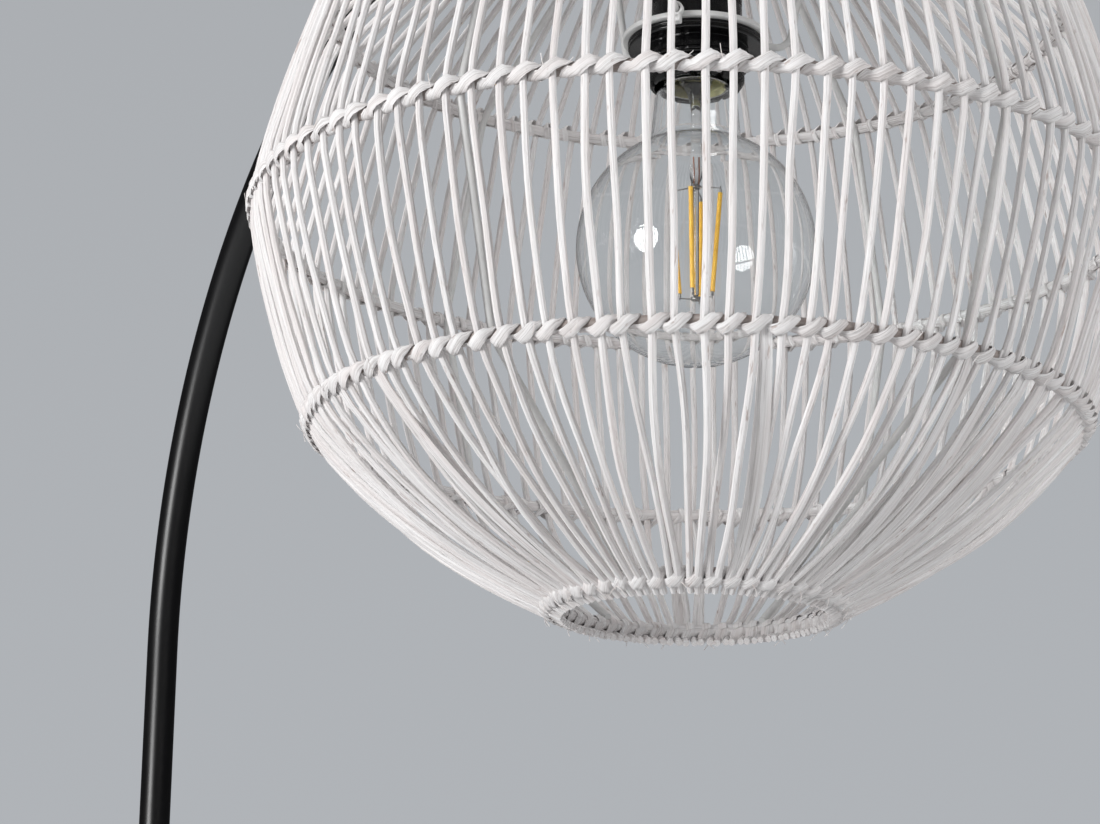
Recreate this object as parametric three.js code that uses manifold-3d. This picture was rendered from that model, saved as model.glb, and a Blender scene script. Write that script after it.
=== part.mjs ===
// A rattan floor lamp: a weighted round base, a tube pole that bends over into an arm, and a
// barrel-shaped rattan shade that hangs round a lampholder and a globe bulb.
// Millimetres, +Z up. The origin is the middle of the base's underside, and +X points to the shade.
import * as THREE from "three";
import { mergeVertices } from "three/addons/utils/BufferGeometryUtils.js";
import Module from "manifold-3d";

const wasm = await Module();
wasm.setup();

// Clearances and how far a cutting shape runs past a face
const seatGap = 0.3;
const screwHoleGap = 0.3;
const overrun = 1;
const mergeDistance = 0.0005;

// The whole lamp: its tube, and the route of the arm from the swivel to the lampholder
const tubeRadius = 8;
const tubeWall = 1.2;
const swivelHeight = 1140;
const mainBendAboveSwivel = 157;
const mainBendRadius = 315;
const reach = 521;
const endBendRadius = 60;
const endDrop = 42.8;

// The base: a pad, a spun cover, a cast weight inside it and the clamp that holds them
const coverRadius = 150;
const coverHeight = 28;
const coverWall = 1.5;
const coverEdgeRadius = 8;
const coverLip = 5.5;
const padThickness = 2;
const padInset = 2;
const weightThickness = 13;
const weightInset = 2;
const recessRadius = 17;
const recessDepth = 8;
const studRadius = 5;
const studBoreRadius = 3.2;
const studStandOut = 0.5;
const washerRadius = 14;
const washerThickness = 1.5;
const baseNutRadius = 10;
const baseNutThickness = 5;

// The socket that holds the pole on the base
const socketFlangeRadius = 28;
const socketFlangeThickness = 5;
const socketRadius = 13;
const socketHeight = 45;
const socketFloor = 12;
const socketFillet = 4;
const socketScrewHeight = 30;

// The pole's joints: inner sleeves, their screws and the washer that the arm turns on
const lowerJointHeight = 600;
const joinerLength = 90;
const joinerWall = 1.2;
const swivelWasherThickness = 1.5;
const jointScrewOffset = 22;
const screwRadius = 2;
const screwHeadRadius = 3.6;
const screwHeadHeight = 2;
const grubScrewRadius = 2.5;
const knobRadius = 7;
const knobThickness = 5;
const knobNeckRadius = 3.5;
const knobStandOff = 2.5;

// The flex inside the lamp, and the gland where it comes in through the base's cover
const flexRadius = 2.5;
const flexHeight = 8;
const flexBendRadius = 9;
const glandRadius = 3.6;
const glandFlangeRadius = 5;
const glandFlangeThickness = 2;
const glandDepth = 5;
const coreRadius = 1;
const coreSpread = 1.3;

// The lampholder, from the open end of its threaded skirt upwards
const skirtAboveRing = 211;
const skirtRadius = 19.5;
const skirtWall = 3;
const skirtLip = 1.8;
const skirtLipHeight = 3;
const skirtNotches = 10;
const skirtNotchDepth = 2;
const skirtNotchWidth = 3;
const shoulderRadius = 21.4;
const shoulderThickness = 2.5;
const bodyRadius = 18.6;
const bodyRise = 9.4;
const insertSeat = 4.3;
const ledgeThickness = 2.7;
const ledgeRadius = 14.8;
const capHeight = 23;
const capWall = 2;
const capDomeHeight = 7;
const capNeckRadius = 8.5;
const insertHeight = 10;
const terminalWidth = 5;
const terminalHeight = 7;
const terminalOffset = 8;
const terminalHoleRadius = 1.3;
const terminalHoleDepth = 4;
const terminalScrewRadius = 1.6;
const terminalScrewHead = 1.2;
const screwShellRadius = 14.1;
const screwShellWall = 0.4;
const screwShellDepth = 8;
const contactThickness = 0.5;
const contactWidth = 5;
const contactFoot = 5;
const nippleRadius = 5;
const nippleBoreRadius = 3.4;
const nippleInCap = 6;
const nippleInBush = 12;
const bushLength = 15;
const lockNutRadius = 8;
const lockNutThickness = 4;

// The ring nut on the skirt, which clamps the shade's carrier against the shoulder
const ringNutAboveSkirt = 9.2;
const ringNutHeight = 10.4;
const ringNutRadius = 27.5;
const ringNutRim = 3.4;
const ringNutBarrelWall = 1.6;
const ringNutGap = 0.6;
const ringNutFlutes = 12;
const fluteDepth = 0.6;
const fluteRadius = 1;

// The shade: the rings of its frame, from the lowest one up, then its wires, stakes and binding
const ringRadii = [56.8, 149.4, 173.8, 148, 57];
const ringHeights = [0, 69, 154.2, 242, 312];
const wireRadius = 1.8;
const uprightRadius = 1.5;
const uprightAngles = [118, 187, 298, 7];
const stakeCount = 104;
const stakeWidth = 2.9;
const stakeDepth = 2.9;
const lowestTierBow = 6.5;
const peelThickness = 0.7;
const bindingHeight = 6;
const pairCloseUp = 0.25;
const cutEnd = 5;
const carrierThickness = 2.2;
const carrierRadius = 29.6;
const carrierArmAngles = [73, 193, 313];
const carrierArmRadius = 1.5;
const carrierArmReach = 10.4;
const carrierArmRise = 4;

// The cable tie drawn round one arm of the carrier
const tieThickness = 1.1;
const tieWidth = 2.6;
const tieHeadWidth = 4.2;
const tieHeadDepth = 4;
const tieHeadHeight = 3.6;
const tieArmAngle = 313;

// The bulb, from the middle of its globe
const globeRadius = 47.5;
const globeAboveRing = 144;
const bulbLength = 142;
const glassThickness = 1;
const neckRadius = 16.5;
const neckFillet = 6;
const neckShoulder = 4.5;
const bulbCapLength = 27;
const bulbCapRadius = 13.2;
const bulbCapWall = 0.5;
const bulbCapBead = 0.4;
const bulbCapShoulder = 4;
const insulatorHeight = 2.5;
const insulatorRadius = 9;
const bulbContactRadius = 5;
const bulbContactHeight = 1.2;
const stemRadius = 3;
const stemRodRadius = 1.2;
const stemFlareRadius = 10;
const stemFlareHeight = 12;
const stemPressHeight = 6;
const filamentLength = 44;
const filamentTop = 24;
const filamentRadius = 0.95;
const filamentTopSpread = 10;
const filamentBottomSpread = 6.5;
const filamentAngles = [45, 135, 225, 315];
const hookWireRadius = 0.4;
const hubRadius = 2.4;
const hubThickness = 1.2;

// How finely round and bent shapes are divided
const baseSides = 32;
const bulbSides = 20;
const roundSides = 16;
const tubeSides = 12;
const smallSides = 8;
const hexSides = 6;
const wireSides = 4;
const ringSides = 32;
const edgeSteps = 2;
const mainBendSteps = 12;
const endBendSteps = 6;
const lowerGlobeSteps = 4;
const upperGlobeSteps = 3;

const blackMetal = { color: 0x17181a, roughness: 0.42, metalness: 0.3 };
const blackPlastic = { color: 0x0d0d0e, roughness: 0.22, metalness: 0 };
const castIron = { color: 0x35373a, roughness: 0.8, metalness: 0.7 };
const steel = { color: 0xb4b7ba, roughness: 0.35, metalness: 1 };
const whiteMetal = { color: 0xd9d9d8, roughness: 0.45, metalness: 0.1 };
const whiteRattan = { color: 0xe4e1df, roughness: 0.72, metalness: 0 };
const whitePlastic = { color: 0xe6e6e4, roughness: 0.4, metalness: 0 };
const rubber = { color: 0x1d1d1e, roughness: 0.8, metalness: 0 };
const ceramic = { color: 0xe9e6df, roughness: 0.35, metalness: 0 };
const brass = { color: 0xb08a3c, roughness: 0.3, metalness: 1 };
const nickel = { color: 0xc9c7c2, roughness: 0.28, metalness: 1 };
const glass = { color: 0xf2f6f6, roughness: 0.03, metalness: 0, transparent: true, opacity: 0.25 };
const phosphor = { color: 0xe7b23c, roughness: 0.6, metalness: 0 };

// Heights that follow from the sizes above
const coverBottom = padThickness + seatGap;
const coverTop = coverBottom + coverHeight;
const weightTop = coverTop - coverWall - seatGap;
const weightBottom = weightTop - weightThickness;
const washerTop = weightBottom + recessDepth - seatGap;
const baseNutTop = washerTop - washerThickness - seatGap;
const studBottom = baseNutTop - baseNutThickness - studStandOut;
const socketBottom = coverTop + seatGap;
const poleBottom = socketBottom + socketFloor + seatGap;
const boreRadius = tubeRadius - tubeWall;
const joinerRadius = boreRadius - seatGap;
const armBottom = swivelHeight + swivelWasherThickness + 2 * seatGap;
const mainBendHeight = swivelHeight + mainBendAboveSwivel;
const armHeight = mainBendHeight + mainBendRadius;
const holderBore = skirtRadius - skirtWall;
const carrierBottom = ringNutAboveSkirt + ringNutHeight + seatGap;
const shoulderBottom = carrierBottom + carrierThickness + seatGap;
const shoulderTop = shoulderBottom + shoulderThickness;
const bodyTop = shoulderTop + bodyRise;
const ledgeTop = bodyTop - insertSeat;
const insertBottom = ledgeTop + seatGap;
const insertTop = insertBottom + insertHeight;
const capBottom = bodyTop + seatGap;
const capTop = capBottom + capHeight;
const lockNutTop = capTop + seatGap + lockNutThickness;
const tubeEnd = lockNutTop + seatGap;
const skirtHeight = armHeight - endBendRadius - endDrop - tubeEnd;
const shadeHeight = skirtHeight - skirtAboveRing;

// A lathe turns its profile, given as pairs of radius and height, round the Z axis.
function turned(profile, sides) {
  const points = profile.map(([radius, height]) => new THREE.Vector2(radius, height));
  return new THREE.LatheGeometry(points, sides).rotateX(Math.PI / 2);
}

// A profile that doesn't start and end on the axis closes on itself.
function turnedRing(profile, sides) {
  return turned([...profile, profile[0]], sides);
}

function pipe(outerRadius, innerRadius, bottom, top, sides) {
  return turnedRing(
    [
      [innerRadius, bottom],
      [outerRadius, bottom],
      [outerRadius, top],
      [innerRadius, top],
    ],
    sides,
  );
}

function rod(radius, bottom, top, sides) {
  return turned(
    [
      [0, bottom],
      [radius, bottom],
      [radius, top],
      [0, top],
    ],
    sides,
  );
}

// Points of an arc as pairs, for a profile or a path
function arc(centreX, centreY, radius, startDegrees, endDegrees, steps) {
  return Array.from({ length: steps + 1 }, (_, i) => {
    const angle = THREE.MathUtils.degToRad(startDegrees + ((endDegrees - startDegrees) * i) / steps);
    return [centreX + radius * Math.cos(angle), centreY + radius * Math.sin(angle)];
  });
}

// A path with one section of an extrusion at each of its stations, so that straight runs need none.
class StationPath extends THREE.Curve {
  constructor(stations) {
    super();
    this.stations = stations;
  }
  getPoint(share) {
    return this.stations[Math.round(share * (this.stations.length - 1))].clone();
  }
  getPointAt(share) {
    return this.getPoint(share);
  }
  getTangent(share) {
    const last = this.stations.length - 1;
    const i = Math.round(share * last);
    const before = this.stations[Math.max(i - 1, 0)];
    const here = this.stations[i];
    const after = this.stations[Math.min(i + 1, last)];
    const into = here.clone().sub(before).normalize();
    const outOf = after.clone().sub(here).normalize();
    return into.add(outOf).normalize();
  }
  getTangentAt(share) {
    return this.getTangent(share);
  }
}

function circle(radius, sides) {
  return arc(0, 0, radius, 0, 360, sides)
    .slice(0, sides)
    .map(([x, y]) => new THREE.Vector2(x, y));
}

// A round bar, or a tube where it has a bore, along stations
function swept(stations, radius, sides, bore = 0) {
  const section = new THREE.Shape(circle(radius, sides));
  if (bore > 0) section.holes.push(new THREE.Path(circle(bore, sides)));
  return new THREE.ExtrudeGeometry(section, {
    steps: stations.length - 1,
    extrudePath: new StationPath(stations),
  });
}

// Stations in the plane that holds the pole and the shade's axis
function inArmPlane(pairs) {
  return pairs.map(([x, z]) => new THREE.Vector3(x, 0, z));
}

function solidOf(geometry) {
  const bare = geometry.index ? geometry.toNonIndexed() : geometry.clone();
  bare.deleteAttribute("normal");
  bare.deleteAttribute("uv");
  const merged = mergeVertices(bare, mergeDistance);
  return new wasm.Manifold(
    new wasm.Mesh({
      numProp: 3,
      vertProperties: merged.getAttribute("position").array,
      triVerts: new Uint32Array(merged.index.array),
    }),
  );
}

function geometryOf(solid) {
  const mesh = solid.getMesh();
  const geometry = new THREE.BufferGeometry();
  geometry.setAttribute("position", new THREE.BufferAttribute(mesh.vertProperties, 3));
  geometry.setIndex(new THREE.BufferAttribute(mesh.triVerts, 1));
  geometry.computeVertexNormals();
  return geometry;
}

function cut(geometry, ...tools) {
  return geometryOf(tools.reduce((solid, tool) => solid.subtract(solidOf(tool)), solidOf(geometry)));
}

function joined(...geometries) {
  return geometryOf(geometries.map(solidOf).reduce((all, next) => all.add(next)));
}

function piece(name, geometry, finish) {
  const mesh = new THREE.Mesh(geometry, new THREE.MeshStandardMaterial(finish));
  mesh.name = name;
  return mesh;
}

// A hole or a screw across the pole, on the side away from the shade
function acrossPole(geometry, height) {
  return geometry.rotateY(-Math.PI / 2).translate(0, 0, height);
}

function makeBase() {
  const group = new THREE.Group();
  const coverInnerRadius = coverRadius - coverWall;
  const lipRadius = coverInnerRadius - coverLip;
  const centreZ = coverTop - coverEdgeRadius;
  const centreR = coverRadius - coverEdgeRadius;
  const studHole = studRadius + screwHoleGap;
  const cover = turnedRing(
    [
      [lipRadius, coverBottom],
      [coverRadius, coverBottom],
      ...arc(centreR, centreZ, coverEdgeRadius, 0, 90, edgeSteps),
      [studHole, coverTop],
      [studHole, coverTop - coverWall],
      ...arc(centreR, centreZ, coverEdgeRadius - coverWall, 90, 0, edgeSteps),
      [coverInnerRadius, coverBottom + coverWall],
      [lipRadius, coverBottom + coverWall],
    ],
    baseSides,
  );
  const glandHole = acrossPole(
    rod(glandRadius + seatGap, coverRadius - glandDepth, coverRadius + overrun, smallSides),
    flexHeight,
  );
  group.add(piece("base_cover", cut(cover, glandHole), blackMetal));

  group.add(piece("base_pad", rod(coverRadius - padInset, 0, padThickness, baseSides), rubber));

  const weight = turnedRing(
    [
      [recessRadius, weightBottom],
      [lipRadius - weightInset, weightBottom],
      [lipRadius - weightInset, weightTop],
      [studHole, weightTop],
      [studHole, weightBottom + recessDepth],
      [recessRadius, weightBottom + recessDepth],
    ],
    baseSides,
  );
  group.add(piece("base_weight", weight, castIron));

  const studTop = poleBottom - 2 * seatGap;
  group.add(piece("base_stud", pipe(studRadius, studBoreRadius, studBottom, studTop, smallSides), steel));
  const washer = pipe(washerRadius, studHole, washerTop - washerThickness, washerTop, roundSides);
  group.add(piece("base_washer", washer, steel));
  const hexNut = new THREE.Shape(circle(baseNutRadius, hexSides));
  hexNut.holes.push(new THREE.Path(circle(studHole, smallSides)));
  const nut = new THREE.ExtrudeGeometry(hexNut, { depth: baseNutThickness, bevelEnabled: false });
  nut.translate(0, 0, baseNutTop - baseNutThickness);
  group.add(piece("base_nut", nut, steel));

  const glandBore = flexRadius + seatGap;
  const gland = turnedRing(
    [
      [glandBore, coverRadius - glandDepth],
      [glandRadius, coverRadius - glandDepth],
      [glandRadius, coverRadius + seatGap],
      [glandFlangeRadius, coverRadius + seatGap],
      [glandRadius, coverRadius + seatGap + glandFlangeThickness],
      [glandBore, coverRadius + seatGap + glandFlangeThickness],
    ],
    smallSides,
  );
  group.add(piece("cord_gland", acrossPole(gland, flexHeight), rubber));
  return group;
}

function makeSocket() {
  const group = new THREE.Group();
  const socketTop = socketBottom + socketHeight;
  const flangeTop = socketBottom + socketFlangeThickness;
  const body = turnedRing(
    [
      [studRadius + screwHoleGap, socketBottom],
      [socketFlangeRadius, socketBottom],
      [socketFlangeRadius, flangeTop],
      ...arc(socketRadius + socketFillet, flangeTop + socketFillet, socketFillet, 270, 180, edgeSteps),
      [socketRadius, socketTop],
      [tubeRadius + seatGap, socketTop],
      [tubeRadius + seatGap, socketBottom + socketFloor],
      [studRadius + screwHoleGap, socketBottom + socketFloor],
    ],
    roundSides,
  );
  const screwHeight = socketBottom + socketScrewHeight;
  const hole = rod(grubScrewRadius + screwHoleGap, tubeRadius, socketRadius + overrun, smallSides);
  group.add(piece("pole_socket", cut(body, acrossPole(hole, screwHeight)), blackMetal));
  const screw = rod(grubScrewRadius, tubeRadius + seatGap, socketRadius, smallSides);
  group.add(piece("socket_screw", acrossPole(screw, screwHeight), steel));
  return group;
}

// Where each screw crosses a joint of the pole
const jointScrewHeights = {
  lower_joint_screw: lowerJointHeight - jointScrewOffset,
  middle_joint_screw: lowerJointHeight + seatGap + jointScrewOffset,
  swivel_joint_screw: swivelHeight - jointScrewOffset,
};

function screwHole(height) {
  const innerEnd = joinerRadius - joinerWall - overrun;
  const hole = rod(screwRadius + screwHoleGap, innerEnd, tubeRadius + overrun, smallSides);
  return acrossPole(hole, height);
}

function makePole() {
  const group = new THREE.Group();
  const heights = jointScrewHeights;
  const middleBottom = lowerJointHeight + seatGap;
  const lower = pipe(tubeRadius, boreRadius, poleBottom, lowerJointHeight, tubeSides);
  group.add(piece("lower_pole", cut(lower, screwHole(heights.lower_joint_screw)), blackMetal));
  const middle = pipe(tubeRadius, boreRadius, middleBottom, swivelHeight, tubeSides);
  const middleHoles = [heights.middle_joint_screw, heights.swivel_joint_screw].map(screwHole);
  group.add(piece("middle_pole", cut(middle, ...middleHoles), blackMetal));

  const joinerBore = joinerRadius - joinerWall;
  const joinerHoles = {
    pole_joiner: [heights.lower_joint_screw, heights.middle_joint_screw],
    swivel_joiner: [heights.swivel_joint_screw],
  };
  const joinerCentres = { pole_joiner: lowerJointHeight, swivel_joiner: swivelHeight };
  for (const [name, centre] of Object.entries(joinerCentres)) {
    const bottom = centre - joinerLength / 2;
    const sleeve = pipe(joinerRadius, joinerBore, bottom, bottom + joinerLength, tubeSides);
    group.add(piece(name, cut(sleeve, ...joinerHoles[name].map(screwHole)), steel));
  }

  for (const [name, height] of Object.entries(heights)) {
    const screw = turned(
      [
        [0, joinerBore],
        [screwRadius, joinerBore],
        [screwRadius, tubeRadius + seatGap],
        [screwHeadRadius, tubeRadius + seatGap],
        [screwHeadRadius * Math.SQRT1_2, tubeRadius + seatGap + screwHeadHeight],
        [0, tubeRadius + seatGap + screwHeadHeight],
      ],
      smallSides,
    );
    group.add(piece(name, acrossPole(screw, height), blackMetal));
  }
  const washerBottom = swivelHeight + seatGap;
  const washerTop = washerBottom + swivelWasherThickness;
  const washer = pipe(tubeRadius, boreRadius, washerBottom, washerTop, tubeSides);
  group.add(piece("swivel_washer", washer, whitePlastic));

  const route = [
    [-coverRadius, flexHeight],
    [-flexBendRadius, flexHeight],
    ...arc(-flexBendRadius, flexHeight + flexBendRadius, flexBendRadius, 270, 360, endBendSteps).slice(1),
    [0, armBottom - seatGap],
  ];
  group.add(piece("flex_in_pole", swept(inArmPlane(route), flexRadius, smallSides), rubber));
  return group;
}

// The arm's path above its foot: up, over the main bend, along and down the end bend
function armRoute(foot, end) {
  return [
    [0, foot],
    ...arc(mainBendRadius, mainBendHeight, mainBendRadius, 180, 90, mainBendSteps),
    ...arc(reach - endBendRadius, armHeight - endBendRadius, endBendRadius, 90, 0, endBendSteps),
    [reach, end],
  ];
}

function makeArm() {
  const group = new THREE.Group();
  const screwHeight = armBottom + jointScrewOffset;
  const route = inArmPlane(armRoute(armBottom, skirtHeight + tubeEnd));
  const tube = swept(route, tubeRadius, tubeSides, boreRadius);
  const hole = rod(screwRadius + screwHoleGap, joinerRadius, tubeRadius + overrun, smallSides);
  group.add(piece("arm_tube", cut(tube, acrossPole(hole, screwHeight)), blackMetal));

  const knobFace = tubeRadius + knobStandOff;
  const thumbScrew = turned(
    [
      [0, joinerRadius + seatGap],
      [screwRadius, joinerRadius + seatGap],
      [screwRadius, tubeRadius + seatGap],
      [knobNeckRadius, tubeRadius + seatGap],
      [knobNeckRadius, knobFace],
      [knobRadius, knobFace],
      [knobRadius, knobFace + knobThickness],
      [0, knobFace + knobThickness],
    ],
    roundSides,
  );
  group.add(piece("swivel_screw", acrossPole(thumbScrew, screwHeight), blackMetal));

  const flexRoute = inArmPlane(armRoute(armBottom, skirtHeight + capTop - nippleInCap));
  group.add(piece("flex_in_arm", swept(flexRoute, flexRadius, smallSides), rubber));
  return group;
}

function makeLampholder() {
  const group = new THREE.Group();
  const shell = turnedRing(
    [
      [holderBore, 0],
      [skirtRadius - skirtLip, 0],
      [skirtRadius, skirtLipHeight],
      [skirtRadius, shoulderBottom],
      [shoulderRadius, shoulderBottom],
      [shoulderRadius, shoulderTop],
      [bodyRadius, shoulderTop],
      [bodyRadius, bodyTop],
      [holderBore, bodyTop],
      [holderBore, ledgeTop],
      [ledgeRadius, ledgeTop],
      [ledgeRadius, ledgeTop - ledgeThickness],
      [holderBore, ledgeTop - ledgeThickness],
    ],
    roundSides,
  );
  const notch = new THREE.BoxGeometry(2 * skirtWall + overrun, skirtNotchWidth, 2 * skirtNotchDepth);
  const notches = Array.from({ length: skirtNotches }, (_, i) =>
    notch
      .clone()
      .translate(skirtRadius - skirtWall / 2, 0, 0)
      .rotateZ((2 * Math.PI * i) / skirtNotches),
  );
  group.add(piece("holder_shell", cut(shell, ...notches), blackPlastic));

  const nippleHole = nippleRadius + screwHoleGap;
  const domeBottom = capTop - capDomeHeight;
  const cap = turnedRing(
    [
      [holderBore, capBottom],
      [bodyRadius, capBottom],
      [bodyRadius, domeBottom],
      [(bodyRadius + capNeckRadius) / 2, capTop - capDomeHeight / 3],
      [capNeckRadius, capTop],
      [nippleHole, capTop],
      [nippleHole, capTop - nippleInCap],
      [capNeckRadius, capTop - nippleInCap],
      [holderBore, domeBottom - capWall],
    ],
    roundSides,
  );
  group.add(piece("holder_cap", cap, blackPlastic));

  const insertRadius = holderBore - seatGap;
  const insert = rod(insertRadius, insertBottom, insertTop, roundSides);
  group.add(piece("holder_insert", insert, ceramic));

  const shellTop = insertBottom - seatGap;
  const screwShellBore = screwShellRadius - screwShellWall;
  const screwShell = pipe(screwShellRadius, screwShellBore, screwShellDepth, shellTop, roundSides);
  group.add(piece("screw_shell", screwShell, brass));

  const bulbTip = globeAboveRing - globeRadius + bulbLength - skirtAboveRing;
  const contactTop = insertBottom - seatGap;
  const contactTip = bulbTip + seatGap;
  const contactOutline = new THREE.Shape(
    [
      [-contactFoot, contactTop],
      [-contactFoot, contactTop - contactThickness],
      [0, contactTip],
      [contactFoot, contactTip],
      [contactFoot, contactTip + contactThickness],
      [0, contactTip + contactThickness],
      [-contactFoot / 2, contactTop],
    ].map(([x, y]) => new THREE.Vector2(x, y)),
  );
  const contact = new THREE.ExtrudeGeometry(contactOutline, { depth: contactWidth, bevelEnabled: false });
  contact.translate(0, 0, -contactWidth / 2).rotateX(Math.PI / 2);
  group.add(piece("centre_contact", contact, brass));

  const flexEnd = capTop - nippleInCap;
  const terminalBottom = insertTop + seatGap;
  const terminalTop = terminalBottom + terminalHeight;
  for (const [name, side] of [
    ["live", 1],
    ["neutral", -1],
  ]) {
    const block = new THREE.BoxGeometry(terminalWidth, terminalWidth, terminalHeight);
    block.translate(0, side * terminalOffset, terminalBottom + terminalHeight / 2);
    const holeBottom = terminalTop - terminalHoleDepth;
    const wireHole = rod(terminalHoleRadius, holeBottom, terminalTop + overrun, smallSides);
    wireHole.translate(0, side * terminalOffset, 0);
    group.add(piece(`${name}_terminal`, cut(block, wireHole), brass));
    const faceY = terminalOffset + terminalWidth / 2 + seatGap;
    const screw = rod(terminalScrewRadius, faceY, faceY + terminalScrewHead, smallSides);
    screw.rotateX((-side * Math.PI) / 2).translate(0, 0, terminalBottom + terminalHeight / 2);
    group.add(piece(`${name}_terminal_screw`, screw, steel));
    const coreRoute = [
      [coreSpread, flexEnd - seatGap],
      [coreSpread, flexEnd - seatGap - 2 * coreRadius],
      [terminalOffset, terminalTop + 2 * coreRadius],
      [terminalOffset, holeBottom + seatGap],
    ].map(([y, z]) => new THREE.Vector3(0, side * y, z));
    group.add(piece(`${name}_core`, swept(coreRoute, coreRadius, wireSides), whitePlastic));
  }

  const bushBore = nippleRadius + screwHoleGap;
  const bush = pipe(boreRadius - seatGap, bushBore, tubeEnd, tubeEnd + bushLength, tubeSides);
  group.add(piece("arm_end_bush", bush, steel));
  const nippleTop = tubeEnd + nippleInBush;
  const nipple = pipe(nippleRadius, nippleBoreRadius, flexEnd, nippleTop, smallSides);
  group.add(piece("holder_nipple", nipple, steel));
  const hexNut = new THREE.Shape(circle(lockNutRadius, hexSides));
  hexNut.holes.push(new THREE.Path(circle(bushBore, smallSides)));
  const lockNut = new THREE.ExtrudeGeometry(hexNut, { depth: lockNutThickness, bevelEnabled: false });
  group.add(piece("lock_nut", lockNut.translate(0, 0, capTop + seatGap), blackMetal));
  group.add(makeCableTie(carrierBottom + carrierArmRadius));
  return group;
}

// The tie's loop goes round the level stretch of the arm, and its head hangs below it.
function makeCableTie(armHeightOnHolder) {
  const loopRadius = (carrierArmRadius + seatGap) / Math.cos(Math.PI / smallSides);
  const loop = pipe(loopRadius + tieThickness, loopRadius, -tieWidth / 2, tieWidth / 2, smallSides);
  const head = new THREE.BoxGeometry(tieHeadHeight, tieHeadWidth, tieHeadDepth);
  head.translate(loopRadius + tieHeadHeight / 2, 0, 0);
  const alongArm = carrierRadius + (carrierArmReach - carrierArmRise) / 2;
  const tie = joined(loop, head).rotateY(Math.PI / 2).translate(alongArm, 0, armHeightOnHolder);
  return piece("cable_tie", tie.rotateZ(THREE.MathUtils.degToRad(tieArmAngle)), whitePlastic);
}

function makeRingNut() {
  const bottom = ringNutAboveSkirt;
  const top = bottom + ringNutHeight;
  const bore = skirtRadius + ringNutGap;
  const barrelRadius = bore + ringNutBarrelWall;
  const body = turnedRing(
    [
      [bore, bottom],
      [barrelRadius, bottom],
      [barrelRadius, top - ringNutRim],
      [ringNutRadius, top - ringNutRim],
      [ringNutRadius, top],
      [bore, top],
    ],
    2 * ringNutFlutes,
  );
  const flute = rod(fluteRadius, bottom - overrun, top - ringNutRim, wireSides);
  flute.translate(barrelRadius + fluteRadius - fluteDepth, 0, 0);
  const flutes = Array.from({ length: ringNutFlutes }, (_, i) =>
    flute.clone().rotateZ((2 * Math.PI * i) / ringNutFlutes),
  );
  return piece("ring_nut", cut(body, ...flutes), blackPlastic);
}

// Each ring of the shade in the plane of radius and height: its middle, the direction in which
// the wall runs there, the direction out of the wall, and how much a mitre lengthens an offset.
function ringFrames() {
  const middles = ringRadii.map((radius, k) => new THREE.Vector2(radius, ringHeights[k]));
  return middles.map((middle, k) => {
    const below = middles[Math.max(k - 1, 0)];
    const above = middles[Math.min(k + 1, middles.length - 1)];
    const into = middle.clone().sub(below).normalize();
    const outOf = above.clone().sub(middle).normalize();
    const along = into.clone().add(outOf).normalize();
    const outward = new THREE.Vector2(along.y, -along.x);
    const mitre = 1 / (k > 0 ? along.dot(into) : along.dot(outOf));
    return { middle, along, outward, mitre };
  });
}

// Turns a point of a ring's plane to its place round the shade's axis
function aroundAxis(point, angle) {
  return new THREE.Vector3(point.x * Math.cos(angle), point.x * Math.sin(angle), point.y);
}

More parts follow.
